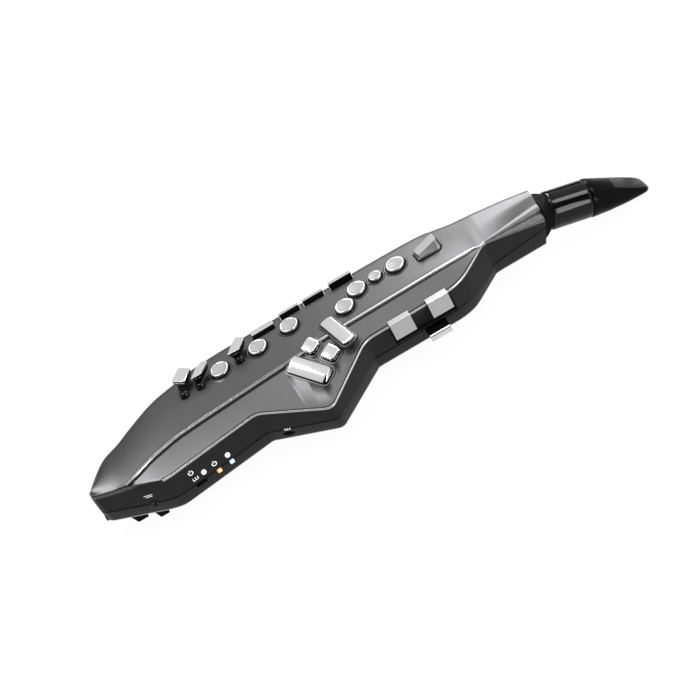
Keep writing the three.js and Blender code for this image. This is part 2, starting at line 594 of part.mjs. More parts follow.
// Stations along the body: every corner of the outlines and steps between them.
const endX = along(1.03);
const stations = [...nearPoints, ...ridgePoints, ...farPoints].map((point) => point.x)
  .filter((x) => x >= 0 && x <= endX).sort((a, b) => a - b)
  .reduce((kept, x) => (kept.length && x - kept[kept.length - 1] < STATION_STEP ? kept : [...kept, x]), []);
const sectionsOf = (section, from, to, every = 1) => [
  from,
  ...stations.filter((x, i) => i % every === 0 && x > from + STATION_STEP / 2 && x < to - STATION_STEP / 2),
  to,
].map((x) => section(x).map(([y, z]) => new THREE.Vector3(x, y, z)));

// The frame of the mouthpiece: its X axis leans to the back by the mouth tilt.
const mouthFrame = new THREE.Matrix4().makeTranslation(along(0.99), across(0.669), up(0.633))
  .multiply(new THREE.Matrix4().makeRotationY(MOUTH_TILT));
const neckCut = placed(block(0, along(0.2), -across(1), across(1), -up(3), up(3)), mouthFrame);
const TUBE_RADIUS = up(0.07);
const tubeHole = placed(pinAlongX(TUBE_RADIUS * 1.3 + CLEARANCE, -along(0.06), along(0.1), 20), mouthFrame);

const cavityFrom = along(0.03);
const cavityTo = along(0.97);
function upperShell() {
  const outer = solid(cut(loft(sectionsOf((x) => upperSection(x), 0, endX)), neckCut));
  const cavity = solid(loft(sectionsOf(
    (x) => upperSection(x, WALL, PANEL_THICKNESS), cavityFrom, cavityTo, 2)));
  let shell = outer.subtract(cavity);
  FLAP_KEYS.forEach(({ seat, length, flap }) => {
    shell = shell.add(outer.intersect(solid(placed(flapLining(length, flap), seat))));
  });
  LEVER_KEYS.forEach(({ seat }) => {
    shell = shell.add(outer.intersect(solid(placed(hubLining(), seat))));
  });
  shell = shell.add(outer.intersect(solid(placed(palmRecessLining(), palmRecessSeat))));
  keyBoardPosts().forEach((geometry) => {
    shell = shell.add(solid(geometry));
  });
  keySeats.forEach(({ seat, tools }) => tools.forEach((tool) => {
    shell = shell.subtract(solid(placed(tool, seat)));
  }));
  sharedOpenings().forEach((tool) => {
    shell = shell.subtract(solid(tool));
  });
  return geometryOf(shell);
}

// Small things on the near wall: their frames have Y pointing out of the wall.
function wallSeat(xShare, zShare) {
  const x = along(xShare);
  const turn = edgeTurn(nearY, x, along(0.01));
  return new THREE.Matrix4().makeTranslation(x, nearY(x) - NEAR_FLARE, up(zShare))
    .multiply(new THREE.Matrix4().makeRotationZ(Math.PI + turn));
}
const jackSeat = wallSeat(0.098, 0.365);
const powerSeat = wallSeat(0.192, 0.29);
const biteSeat = wallSeat(0.376, 0.2);
const lampSeats = [
  ['power_lamp', wallSeat(0.2315, 0.286), 'amber'],
  ['link_lamp', wallSeat(0.2595, 0.286), 'blue'],
];
const alongY = (geometry) => geometry.clone().rotateX(-Math.PI / 2);
const JACK_RADIUS = up(0.09);
const SWITCH_SLOT = up(0.24);
const SWITCH_HEIGHT = up(0.09);
const LAMP_SIZE = up(0.088);
const spoutSeat = new THREE.Matrix4().makeTranslation(along(0), across(0.33), up(0.24));
const SPOUT_RADIUS = up(0.075);
function sharedOpenings() {
  return [
    placed(alongY(post(JACK_RADIUS + CLEARANCE, -WALL * 3, WALL * 3)), jackSeat),
    ...lampSeats.map(([, seat]) => placed(block(
      -LAMP_SIZE / 2 - CLEARANCE, LAMP_SIZE / 2 + CLEARANCE, -WALL * 2.5, WALL * 2,
      -LAMP_SIZE / 2 - CLEARANCE, LAMP_SIZE / 2 + CLEARANCE), seat)),
    tubeHole,
  ];
}
const switchSlot = (seat) => placed(block(
  -SWITCH_SLOT / 2, SWITCH_SLOT / 2, -WALL * 2.5, WALL * 3, -SWITCH_HEIGHT / 2, SWITCH_HEIGHT / 2), seat);

// The battery bay: an opening in the back with its cover, and six cells in two rows of three.
const CELL_LENGTH = CELL_DIAMETER * 3.5;
const CELL_GAP = CELL_DIAMETER * 0.03;
const BAY_WIDTH = CELL_DIAMETER * 3 + CELL_GAP * 4;
const BAY_LENGTH = CELL_LENGTH * 2 + CELL_GAP * 3;
const bayX = along(0.2);
const bayY = across(0.315);
const COVER_MARGIN = WALL * 1.2;
const coverBlock = (grow, z0, z1) => block(
  bayX - COVER_MARGIN - grow, bayX + BAY_LENGTH + COVER_MARGIN + grow,
  bayY - COVER_MARGIN - grow, bayY + BAY_WIDTH + COVER_MARGIN + grow, z0, z1);

// Back fittings: octave levers, thumb rest, and the strap ring in its lug just before the first lever.
const OCTAVE_X = along(0.735);
const OCTAVE_Y = across(0.6);
const OCTAVE_LENGTH = up(0.55);
const OCTAVE_WIDTH = up(0.3);
const OCTAVE_SPACING = up(0.62);
const OCTAVE_HINGE = up(0.05);
const RING_RADIUS = up(0.2);
const RING_WIRE = up(0.032);
const RING_SPACING = up(0.045);
const RING_HINGE = up(0.085);
const LUG_X = OCTAVE_X - (OCTAVE_SPACING + OCTAVE_WIDTH) / 2 - RING_SPACING - RING_RADIUS - RING_WIRE;
const LUG_Y = across(0.62);
const LUG_HALF = up(0.04);
const LUG_DROP = up(0.15);
function strapLug() {
  const lug = block(
    LUG_X - LUG_HALF, LUG_X + LUG_HALF, LUG_Y - up(0.09), LUG_Y + up(0.09), -LUG_DROP, WALL / 2);
  return cut(lug, moved(pinAlongX(RING_WIRE * 1.45, -LUG_HALF * 2, LUG_HALF * 2), LUG_X, LUG_Y, -RING_HINGE));
}
const octaveSeat = (side) => new THREE.Matrix4().makeTranslation(
  OCTAVE_X + side * OCTAVE_SPACING / 2, OCTAVE_Y, 0);
function octavePocket() {
  const half = OCTAVE_WIDTH / 2 + CLEARANCE;
  const reach = HINGE_RADIUS + KEY_TRAVEL * 0.7;
  return [
    block(-half, half, -reach, reach, -up(0.2), OCTAVE_HINGE + HINGE_RADIUS + CLEARANCE),
    moved(pinAlongX(PIN_RADIUS + CLEARANCE, -half - PIN_REACH, half + PIN_REACH), 0, 0, OCTAVE_HINGE),
  ];
}
function octaveLining() {
  const half = OCTAVE_WIDTH / 2 + PIN_REACH + WALL * 2;
  const reach = HINGE_RADIUS + KEY_TRAVEL + WALL;
  return block(-half, half, -reach, reach, WALL / 2, OCTAVE_HINGE + HINGE_RADIUS + CLEARANCE + WALL);
}
function octaveKeyForm() {
  const [root, tip, half] = [HINGE_RADIUS * 0.8, OCTAVE_LENGTH, OCTAVE_WIDTH / 2];
  const [face, thickness] = [-up(0.06), up(0.05)];
  return joined(
    runAlongX([
      [-root, OCTAVE_HINGE], [root, OCTAVE_HINGE], [root, face], [tip * 0.6, -up(0.075)],
      [tip * 0.6, -up(0.075) - thickness], [-tip * 0.3, face - thickness], [-tip * 0.3, face], [-root, face],
    ], OCTAVE_WIDTH),
    moved(pinAlongX(HINGE_RADIUS, -half, half), 0, 0, OCTAVE_HINGE),
    moved(pinAlongX(PIN_RADIUS, -half - PIN_REACH, half + PIN_REACH), 0, 0, OCTAVE_HINGE));
}

// Posts inside the lower shell that carry the main board.
const BOARD_THICKNESS = up(0.036);
const MAIN_BOARD_Z = up(0.2);
const MAIN_BOARD = { x0: along(0.46), x1: along(0.8), y0: across(0.52), y1: across(0.86) };
const onBoard = ({ x0, x1, y0, y1 }, u, v) => [
  THREE.MathUtils.lerp(x0, x1, u), THREE.MathUtils.lerp(y0, y1, v)];
const boardPosts = () => [0.08, 0.92].flatMap((u) => [0.12, 0.88].map((v) => moved(
  post(up(0.06), WALL / 2, MAIN_BOARD_Z - CLEARANCE, 12), ...onBoard(MAIN_BOARD, u, v), 0)));

const KEY_BOARD = { x0: along(0.29), x1: along(0.735), y0: across(0.63), y1: across(0.83) };
const KEY_BOARD_TOP = up(1) + STOP_REACH - CLEARANCE;
const CHIP_RISE = up(0.01);
const keyBoardPosts = () => [0.03, 0.46, 0.985].flatMap((u) => [0.1, 0.93].map((v) => moved(
  post(up(0.05), KEY_BOARD_TOP - CHIP_RISE + CLEARANCE, up(1) - PANEL_THICKNESS / 2, 12),
  ...onBoard(KEY_BOARD, u, v), 0)));

function lowerShell() {
  const outer = solid(cut(loft(sectionsOf((x) => lowerSection(x), 0, endX)), neckCut));
  const cavity = solid(loft(sectionsOf((x) => lowerSection(x, WALL), cavityFrom, cavityTo, 2)));
  let shell = outer.subtract(cavity);
  const fill = (geometry) => {
    shell = shell.add(solid(geometry).intersect(outer));
  };
  fill(coverBlock(WALL, 0, WALL * 2));
  fill(block(bayX - WALL, bayX + BAY_LENGTH + WALL, bayY - WALL, bayY + BAY_WIDTH + WALL, 0, up(0.3)));
  fill(placed(lowPalmLining(), lowPalmSeat));
  [-1, 1].forEach((side) => fill(placed(octaveLining(), octaveSeat(side))));
  boardPosts().forEach(fill);
  shell = shell.add(solid(strapLug()));
  const tools = [
    coverBlock(0, -up(1), WALL),
    block(bayX, bayX + BAY_LENGTH, bayY, bayY + BAY_WIDTH, -up(1), up(1)),
    ...lowPalmPocket().map((tool) => placed(tool, lowPalmSeat)),
    ...[-1, 1].flatMap((side) => octavePocket().map((tool) => placed(tool, octaveSeat(side)))),
    ...[powerSeat, biteSeat].map(switchSlot),
    ...sharedOpenings(),
    placed(pinAlongX(SPOUT_RADIUS + CLEARANCE, -WALL * 2, along(0.05), 20), spoutSeat),
  ];
  tools.forEach((tool) => {
    shell = shell.subtract(solid(tool));
  });
  return geometryOf(shell);
}

piece('front_shell', upperShell(), 'graphite');
piece('back_shell', lowerShell(), 'backShell');

ROUND_KEYS.forEach(([name, x, y, diameter]) => (
  piece(name, roundKeyForm(diameter), 'pearl', instrument, onPanel(x, y))));
TABLE_KEYS.forEach(({ name, seat, size, rise, bevel, lean }) => {
  const [width, length, edge, shift] = [...size, bevel, lean].map((share) => share * TABLE_KEY_WIDTH);
  piece(name, barKeyForm(width, length, up(rise), edge, shift), 'chrome', instrument, seat);
});
piece('wedge_key', wedgeKeyForm(), 'chrome', instrument, wedgeSeat);
FLAP_KEYS.forEach(({ name, seat, length, flap }) => (
  piece(name, flapKeyForm(length, flap), 'chrome', instrument, seat)));
piece('palm_key_3', lowPalmForm(), 'chrome', instrument, lowPalmSeat);
LEVER_KEYS.forEach((lever) => piece(lever.name, leverKeyForm(lever), 'chrome', instrument, lever.seat));

// The mouth end: collar, barrel with its tenon, mouthpiece and reed, along X from the neck's end face.
const mouth = new THREE.Group();
mouth.applyMatrix4(mouthFrame);
instrument.add(mouth);
const toward = (share) => share * MOUTH_LENGTH;
const BORE_RADIUS = BARREL_RADIUS * 0.33;
const TENON_RADIUS = BARREL_RADIUS * 0.65;
const COLLAR_SHARE = 0.086;
const BARREL_SHARE = 0.436;
const TENON_SHARE = 0.6;
const RIM_SIDES = 28;

// A ring between a circle and a rounded square: squareness 2 is round, 4 is boxy.
function rim(x, halfWidth, top, bottom, squareness) {
  const middle = (top + bottom) / 2;
  const power = (value) => Math.sign(value) * Math.abs(value) ** (2 / squareness);
  return Array.from({ length: RIM_SIDES }, (_, i) => {
    const angle = (i / RIM_SIDES) * Math.PI * 2;
    const height = middle + ((top - bottom) / 2) * power(Math.sin(angle));
    return new THREE.Vector3(x, halfWidth * power(Math.cos(angle)), height);
  });
}
const bore = (radius, from, to) => pinAlongX(radius, toward(from), toward(to), 28);

function collarForm() {
  const start = CLEARANCE;
  const body = loft([
    rim(start, BARREL_RADIUS * 0.96, up(0.33), -up(0.44), 5),
    rim(toward(COLLAR_SHARE * 0.35), BARREL_RADIUS * 0.95, up(0.34), -up(0.43), 4),
    rim(toward(COLLAR_SHARE), BARREL_RADIUS * 0.93, BARREL_RADIUS * 0.93, -BARREL_RADIUS * 0.93, 2),
  ]);
  return cut(body, bore(BORE_RADIUS, -0.1, 0.2));
}
function barrelForm() {
  const start = toward(COLLAR_SHARE) + CLEARANCE;
  return aboutX(turned([
    [BORE_RADIUS, start], [BARREL_RADIUS * 0.95, start], [BARREL_RADIUS, start + up(0.05)],
    [BARREL_RADIUS, toward(BARREL_SHARE) - up(0.04)], [BARREL_RADIUS * 0.97, toward(BARREL_SHARE)],
    [TENON_RADIUS, toward(BARREL_SHARE)], [TENON_RADIUS, toward(TENON_SHARE)],
    [BORE_RADIUS, toward(TENON_SHARE)], [BORE_RADIUS, start],
  ], RIM_SIDES));
}

// Mouthpiece stations: share of the mouth length, half width, top and bottom in barrel radii, squareness.
const MOUTHPIECE_SHARES = [
  [0.439, 1, 1, -1, 2], [0.455, 1.02, 1.02, -1.02, 2], [0.545, 0.99, 0.99, -0.97, 2],
  [0.6, 0.95, 0.86, -0.9, 2.2], [0.655, 0.88, 0.69, -0.83, 2.5], [0.73, 0.78, 0.5, -0.76, 2.8],
  [0.8, 0.69, 0.31, -0.7, 3], [0.89, 0.57, 0.04, -0.6, 3], [0.945, 0.5, -0.17, -0.54, 3],
  [0.982, 0.44, -0.34, -0.5, 3], [1, 0.34, -0.41, -0.47, 3],
];
const TABLE_SHARE = 0.58;
const FACING_SHARE = 0.62;
const tableZ = (share) => -BARREL_RADIUS * THREE.MathUtils.mapLinear(share, TABLE_SHARE, 1, 0.84, 0.46);
const belowLine = (share0, z0, share1, z1) => {
  const slope = Math.atan2(z1 - z0, toward(share1 - share0));
  return block(0, toward(0.6), -up(1), up(1), -up(1), 0).rotateY(-slope).translate(toward(share0), 0, z0);
};
function mouthpieceForm() {
  const body = loft(MOUTHPIECE_SHARES.map(([share, width, top, bottom, squareness]) => rim(
    toward(share) + (share < BARREL_SHARE + 0.01 ? CLEARANCE / 2 : 0),
    width * BARREL_RADIUS, top * BARREL_RADIUS, bottom * BARREL_RADIUS, squareness)));
  return cut(
    body,
    bore(TENON_RADIUS + CLEARANCE, 0.4, TENON_SHARE + 0.006),
    bore(BORE_RADIUS, 0.55, 0.74),
    block(
      toward(0.7), toward(0.93), -BARREL_RADIUS * 0.28, BARREL_RADIUS * 0.28,
      tableZ(0.7) * 1.4, tableZ(0.9) * 0.35),
    belowLine(TABLE_SHARE, tableZ(TABLE_SHARE), 1, tableZ(1)),
    belowLine(FACING_SHARE, tableZ(FACING_SHARE), 1, tableZ(1) + BARREL_RADIUS * 0.05));
}
function reedForm() {
  const half = BARREL_RADIUS * 0.36;
  const ring = (share, width, thickness) => {
    const top = tableZ(share) - CLEARANCE;
    const bottom = top - BARREL_RADIUS * thickness;
    return [[-1, bottom], [1, bottom], [1, top], [-1, top]].map(([side, z]) => (
      new THREE.Vector3(toward(share), side * half * width, z)));
  };
  return loft([
    ring(TABLE_SHARE + 0.012, 0.9, 0.1), ring(TABLE_SHARE + 0.03, 1, 0.13), ring(0.75, 1, 0.12),
    ring(0.95, 1, 0.045), ring(0.985, 0.82, 0.035), ring(0.997, 0.5, 0.03),
  ]);
}
piece('neck_collar', collarForm(), 'rubber', mouth);
piece('mouthpiece_barrel', barrelForm(), 'gloss', mouth);
piece('mouthpiece', mouthpieceForm(), 'gloss', mouth);
piece('reed', reedForm(), 'gloss', mouth);

// Wall fittings: output socket, slide switches, lamps and the drain spout.
const socketForm = () => alongY(turned([
  [JACK_RADIUS * 0.42, -up(0.3)], [JACK_RADIUS, -up(0.3)], [JACK_RADIUS, up(0.012)],
  [JACK_RADIUS * 0.5, up(0.012)], [JACK_RADIUS * 0.42, 0], [JACK_RADIUS * 0.42, -up(0.3)],
], 20));
const sliderForm = () => {
  const height = SWITCH_HEIGHT / 2 - CLEARANCE;
  return joined(
    block(-SWITCH_SLOT * 0.22, SWITCH_SLOT * 0.22, -WALL * 2.4, WALL * 0.1, -height, height),
    block(-SWITCH_SLOT * 0.08, SWITCH_SLOT * 0.08, -WALL, WALL * 0.4, -height, height));
};
const lampForm = () => block(
  -LAMP_SIZE / 2, LAMP_SIZE / 2, -WALL * 2.4, WALL * 0.08, -LAMP_SIZE / 2, LAMP_SIZE / 2);
const spoutForm = () => aboutX(turned([
  [SPOUT_RADIUS * 0.55, -up(0.03)], [SPOUT_RADIUS, -up(0.03)], [SPOUT_RADIUS, along(0.045)],
  [SPOUT_RADIUS * 0.55, along(0.045)], [SPOUT_RADIUS * 0.55, -up(0.03)],
], 16));
piece('phones_socket', socketForm(), 'rubber', instrument, jackSeat);
piece('power_switch', sliderForm(), 'rubber', instrument, powerSeat);
piece('bite_switch', sliderForm(), 'rubber', instrument, biteSeat);
lampSeats.forEach(([name, seat, look]) => piece(name, lampForm(), look, instrument, seat));
piece('drain_spout', spoutForm(), 'rubber', instrument, spoutSeat);

// Inside: boards, breath sensor, breath tube and cells.
function boardForm(board, bottom, chips) {
  const thickness = BOARD_THICKNESS;
  const plate = block(board.x0, board.x1, board.y0, board.y1, bottom, bottom + thickness);
  const parts = chips.map(([u, v, size, height]) => {
    const [x, y] = onBoard(board, u, v);
    const top = bottom + thickness;
    return block(x - size / 2, x + size / 2, y - size / 2, y + size / 2, top - thickness / 2, top + height);
  });
  return joined(plate, ...parts);
}
const SENSOR = { x0: along(0.758), x1: along(0.785), y0: across(0.6), y1: across(0.68) };
const SENSOR_BOTTOM = MAIN_BOARD_Z + BOARD_THICKNESS + CLEARANCE;
const SENSOR_HEIGHT = up(0.2);
const sensorY = (SENSOR.y0 + SENSOR.y1) / 2;
const tubeZ = SENSOR_BOTTOM + SENSOR_HEIGHT / 2;
const sensorForm = () => joined(
  block(SENSOR.x0, SENSOR.x1, SENSOR.y0, SENSOR.y1, SENSOR_BOTTOM, SENSOR_BOTTOM + SENSOR_HEIGHT),
  moved(pinAlongX(TUBE_RADIUS * 0.5, SENSOR.x1 - CLEARANCE, SENSOR.x1 + up(0.09)), 0, sensorY, tubeZ));
function tubeForm() {
  const inside = (x) => new THREE.Vector3(x, 0, 0).applyMatrix4(mouthFrame);
  const path = new THREE.CubicBezierCurve3(
    new THREE.Vector3(SENSOR.x1 + CLEARANCE, sensorY, tubeZ), new THREE.Vector3(along(0.88), sensorY, tubeZ),
    inside(-along(0.09)), inside(-CLEARANCE));
  const ring = new THREE.Shape().absarc(0, 0, TUBE_RADIUS, 0, Math.PI * 2);
  ring.holes.push(new THREE.Path().absarc(0, 0, TUBE_RADIUS * 0.5 + CLEARANCE, 0, Math.PI * 2, true));
  return new THREE.ExtrudeGeometry(ring, { extrudePath: path, steps: 10, curveSegments: 5 });
}
const KEY_SWITCHES = [
  [0.06, 0.5], [0.25, 0.52], [0.41, 0.6], [0.66, 0.2], [0.74, 0.62], [0.84, 0.68], [0.94, 0.7],
];
const MAIN_CHIPS = [[0.3, 0.5, up(0.3), up(0.05)], [0.6, 0.4, up(0.22), up(0.04)]];
piece('main_board', boardForm(MAIN_BOARD, MAIN_BOARD_Z, MAIN_CHIPS), 'board');
piece('key_board', boardForm(KEY_BOARD, KEY_BOARD_TOP - BOARD_THICKNESS - CHIP_RISE,
  KEY_SWITCHES.map(([u, v]) => [u, v, up(0.1), CHIP_RISE])), 'board');
piece('breath_sensor', sensorForm(), 'rubber');
piece('breath_tube', tubeForm(), 'rubber');
const cellForm = () => aboutX(turned([
  [0, 0], [CELL_DIAMETER * 0.46, 0], [CELL_DIAMETER / 2, CELL_DIAMETER * 0.05],
  [CELL_DIAMETER / 2, CELL_LENGTH * 0.95], [CELL_DIAMETER * 0.46, CELL_LENGTH * 0.97],
  [CELL_DIAMETER * 0.2, CELL_LENGTH * 0.97], [CELL_DIAMETER * 0.2, CELL_LENGTH], [0, CELL_LENGTH],
], 12));
for (let i = 0; i < 6; i += 1) {
  const [row, lane] = [Math.floor(i / 3), i % 3];
  piece(`cell_${i + 1}`, cellForm(), 'cell', instrument, new THREE.Matrix4().makeTranslation(
    bayX + CELL_GAP + row * (CELL_LENGTH + CELL_GAP),
    bayY + CELL_GAP + CELL_DIAMETER / 2 + lane * (CELL_DIAMETER + CELL_GAP),
    WALL + CLEARANCE + CELL_DIAMETER / 2));
}

// On the back: battery cover, feet, thumb hook, thumb rest, octave levers and strap ring.
const runAlongY = (points, from, to) => new THREE.ExtrudeGeometry(
  new THREE.Shape(points.map(([x, z]) => new THREE.Vector2(x, z))), { depth: to - from, bevelEnabled: false })
  .rotateX(Math.PI / 2).translate(0, to, 0);
function coverForm() {
  const ribs = [0.08, 0.12, 0.16].map((u) => block(
    bayX + BAY_LENGTH * u, bayX + BAY_LENGTH * (u + 0.015),
    bayY + BAY_WIDTH * 0.3, bayY + BAY_WIDTH * 0.7, -WALL * 0.3, WALL / 2));
  return joined(coverBlock(-CLEARANCE, 0, WALL - CLEARANCE), ...ribs);
}
const FEET = [
  { name: 'foot_1', x0: along(0.034), x1: along(0.066), y0: across(0.315), y1: across(0.46) },
  { name: 'foot_2', x0: along(0.0795), x1: along(0.1065), y0: across(0.245), y1: across(0.6) },
];
function footForm({ x0, x1, y0, y1 }) {
  const sole = [0.22, 0.92].map((share) => [THREE.MathUtils.lerp(x0, x1, share), -FOOT_HEIGHT]);
  return runAlongY([[x0, -CLEARANCE], ...sole, [x1, -CLEARANCE]], y0, y1);
}
const HOOK = { x: along(0.605), y0: across(0.46), y1: across(0.69) };
function hookForm() {
  const thickness = FOOT_HEIGHT * 0.2;
  const gap = FOOT_HEIGHT - thickness * 2 - CLEARANCE;
  const centre = -CLEARANCE - thickness - gap / 2;
  const tip = HOOK.x - gap * 0.9;
  const profile = new THREE.Shape();
  profile.moveTo(HOOK.x - gap * 1.1, -CLEARANCE);
  profile.lineTo(HOOK.x - gap * 1.1, -CLEARANCE - thickness);
  profile.lineTo(HOOK.x, -CLEARANCE - thickness);
  profile.absarc(HOOK.x, centre, gap / 2, Math.PI / 2, -Math.PI / 2, true);
  profile.lineTo(tip, -FOOT_HEIGHT + thickness);
  profile.absarc(tip, -FOOT_HEIGHT + thickness / 2, thickness / 2, Math.PI / 2, Math.PI * 1.5, false);
  profile.lineTo(HOOK.x, -FOOT_HEIGHT);
  profile.absarc(HOOK.x, centre, gap / 2 + thickness, -Math.PI / 2, Math.PI / 2, false);
  const options = { depth: HOOK.y1 - HOOK.y0, bevelEnabled: false, curveSegments: 6 };
  return new THREE.ExtrudeGeometry(profile, options).rotateX(Math.PI / 2).translate(0, HOOK.y1, 0);
}
const restForm = () => turned([
  [0, -up(0.1)], [up(0.09), -up(0.1)], [up(0.13), -up(0.075)], [up(0.14), -CLEARANCE], [0, -CLEARANCE]], 20);
piece('battery_cover', coverForm(), 'backShell');
FEET.forEach((foot) => piece(foot.name, footForm(foot), 'rubber'));
piece('thumb_hook', hookForm(), 'rubber');
const restSeat = new THREE.Matrix4().makeTranslation(OCTAVE_X, OCTAVE_Y, 0);
piece('thumb_rest', restForm(), 'rubber', instrument, restSeat);
piece('octave_key_down', octaveKeyForm(), 'chrome', instrument, octaveSeat(-1));
piece('octave_key_up', octaveKeyForm(), 'chrome', instrument, octaveSeat(1));
piece('strap_ring', new THREE.TorusGeometry(RING_RADIUS, RING_WIRE, 6, 24), 'steel', instrument,
  new THREE.Matrix4().makeTranslation(LUG_X, LUG_Y - RING_RADIUS, -RING_HINGE));

instrument.updateMatrixWorld(true);
const box = new THREE.Box3().setFromObject(instrument, true);
instrument.position.set(-(box.min.x + box.max.x) / 2, -(box.min.y + box.max.y) / 2, -box.min.z);
export default instrument;
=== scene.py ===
"""Visual model of a digital wind controller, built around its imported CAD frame.

Sizes are millimetres in the instrument's own frame, which has its origin at the
bell end, the waist corner and the back of the housing, with +X towards the mouth
and +Z out of the key panel. They become metres of the row frame as meshes are made.
"""

import logging
import math
from bisect import bisect_left
from dataclasses import dataclass, field
from enum import Enum
from typing import Callable, Iterable, Sequence

import bmesh
import bpy
from mathutils import Matrix, Vector


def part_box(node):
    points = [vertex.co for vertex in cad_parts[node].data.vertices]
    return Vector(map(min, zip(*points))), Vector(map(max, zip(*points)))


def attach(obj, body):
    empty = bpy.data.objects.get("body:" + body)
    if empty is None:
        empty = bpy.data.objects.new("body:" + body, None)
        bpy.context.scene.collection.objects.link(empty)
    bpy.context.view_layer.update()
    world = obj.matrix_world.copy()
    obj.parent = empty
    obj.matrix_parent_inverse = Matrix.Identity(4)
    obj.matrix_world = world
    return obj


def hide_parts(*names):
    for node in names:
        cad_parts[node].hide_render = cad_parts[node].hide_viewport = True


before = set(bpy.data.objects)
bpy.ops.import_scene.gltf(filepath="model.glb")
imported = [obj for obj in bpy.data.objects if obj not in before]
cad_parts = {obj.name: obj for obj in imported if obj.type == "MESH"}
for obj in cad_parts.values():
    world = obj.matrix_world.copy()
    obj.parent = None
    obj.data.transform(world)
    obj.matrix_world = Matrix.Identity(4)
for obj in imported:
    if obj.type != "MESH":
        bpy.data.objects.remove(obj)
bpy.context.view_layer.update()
LOG = logging.getLogger("wind_controller")

Point = tuple[float, float]
Track = Callable[[float], float]
METRE = 0.001


class Body(Enum):
    """Driving sizes of the housing in millimetres."""

    LENGTH = 467.0
    WIDTH = 127.0
    DEPTH = 45.0


def along(share: float) -> float:
    """Length for a share of the housing's length."""
    return share * Body.LENGTH.value


def across(share: float) -> float:
    """Length for a share of the housing's width."""
    return share * Body.WIDTH.value


def up(share: float) -> float:
    """Length for a share of the housing's depth."""
    return share * Body.DEPTH.value


def lerp(a: float, b: float, t: float) -> float:
    """Value between a and b at share t."""
    return a + (b - a) * t


def smooth(low: float, high: float, value: float) -> float:
    """Smooth step from 0 at low to 1 at high."""
    t = min(1.0, max(0.0, (value - low) / (high - low)))
    return t * t * (3 - 2 * t)


WALL = up(0.058)
PANEL = up(0.11)
CLEARANCE = up(0.0072)
TRAVEL = up(0.045)
WELL_DEPTH = up(0.055)
WELL_GAP = up(0.02)
EDGE_BEVEL = up(0.035)
NEAR_FLARE = across(0.018)
TILT = math.atan(0.27)
FOOT_HEIGHT = 12.0
BARREL_RADIUS = 17.8
MOUTH_LENGTH = 110.0
KEY_DIAMETER = 18.3
SMALL_KEY_DIAMETER = 12.5
TABLE_WIDTH = 13.0
SIDE_LENGTH = 23.0
PALM_LENGTH = 20.3
LEVER_WIDTH = 12.0
CELL = 14.2

NEAR_EDGE = (
    (0, 0.315, 0.93), (0.008, 0.28, 0.93), (0.143, 0.118, 0.867), (0.343, 0.233, 0.875),
    (0.472, 0, 0.62), (0.585, 0.343, 0.822), (0.79, 0.35, 0.85), (0.869, 0.539, 0.985), (1.03, 0.52, 0.92),
)
FAR_EDGE = (
    (0, 0.346), (0.012, 0.45), (0.043, 0.6), (0.081, 0.677), (0.113, 0.756), (0.169, 0.87), (0.23, 0.925),
    (0.31, 0.969), (0.6, 0.99), (0.76, 0.984), (0.805, 0.949), (0.842, 0.909), (0.9, 0.874), (1.03, 0.803),
)
RIDGE = (
    (0, 0.32), (0.064, 0.208), (0.133, 0.332), (0.19, 0.394), (0.25, 0.42), (0.443, 0.486), (0.512, 0.518),
    (0.567, 0.526), (0.869, 0.556), (1.03, 0.55),
)
STEP = ((0, 0), (0.05, 0), (0.08, 0.032), (0.15, 0.036), (0.45, 0.034), (0.58, 0.016), (0.869, 0.004),
        (1.03, 0.004))
SHELF = ((0, 1), (0.78, 1), (0.88, 0.98), (1.03, 0.89))
CROWN = ((0, 1), (0.78, 1), (0.88, 1.04), (0.95, 1.03), (1.03, 0.97))
SPLIT = ((0, 0.55), (0.1, 0.385), (0.19, 0.35), (0.85, 0.344), (0.878, 0.44), (1.03, 0.68))
BACK = ((0, 0.17), (0.035, 0.02), (0.06, 0), (0.8, 0), (0.878, 0.11), (1.03, 0.175))


def track_of(points: Sequence[Point]) -> Track:
    """Value at x between the points of a curve over the housing's length.

    Args:
        points: (x, value) pairs with x rising.

    Returns:
        A function of x, held at the end values outside the points.
    """
    xs = [point[0] for point in points]

    def value(x: float) -> float:
        """Value of the curve.

        Args:
            x: place along it.

        Returns:
            The value there.
        """
        i = bisect_left(xs, x)
        if i == 0:
            return points[0][1]
        if i == len(xs):
            return points[-1][1]
        (x0, v0), (x1, v1) = points[i - 1], points[i]
        return lerp(v0, v1, (x - x0) / (x1 - x0))

    return value


def softened(corners: Sequence[Vector], reaches: Sequence[float], steps: int = 8) -> list[Vector]:
    """Outline with its corners rounded by short curves.

    Args:
        corners: the outline's corners in order.
        reaches: how far before and after each inner corner its curve starts and ends.
        steps: pieces of each curve.

    Returns:
        The points of the rounded outline.
    """
    points = [corners[0]]
    for before, corner, after, reach in zip(corners, corners[1:], corners[2:], reaches):
        start = corner.lerp(before, min(0.45, reach / (corner - before).length))
        end = corner.lerp(after, min(0.45, reach / (corner - after).length))
        for i in range(steps + 1):
            t = i / steps
            points.append(start * (1 - t) ** 2 + corner * (2 * t * (1 - t)) + end * t ** 2)
    return [*points, corners[-1]]


def spline(points: Sequence[Vector], steps: int) -> list[Vector]:
    """Smooth curve through points.

    Args:
        points: the points in order.
        steps: pieces of the curve in each span.

    Returns:
        The points of the curve.
    """
    padded = [points[0], *points, points[-1]]
    curve: list[Vector] = []
    for a, b, c, d in zip(padded, padded[1:], padded[2:], padded[3:]):
        for i in range(steps):
            t = i / steps
            lean0, lean1 = (c - a) / 2, (d - b) / 2
            curve.append(
                b * (2 * t ** 3 - 3 * t ** 2 + 1) + lean0 * (t ** 3 - 2 * t ** 2 + t)
                + c * (3 * t ** 2 - 2 * t ** 3) + lean1 * (t ** 3 - t ** 2))
    return [*curve, points[-1]]


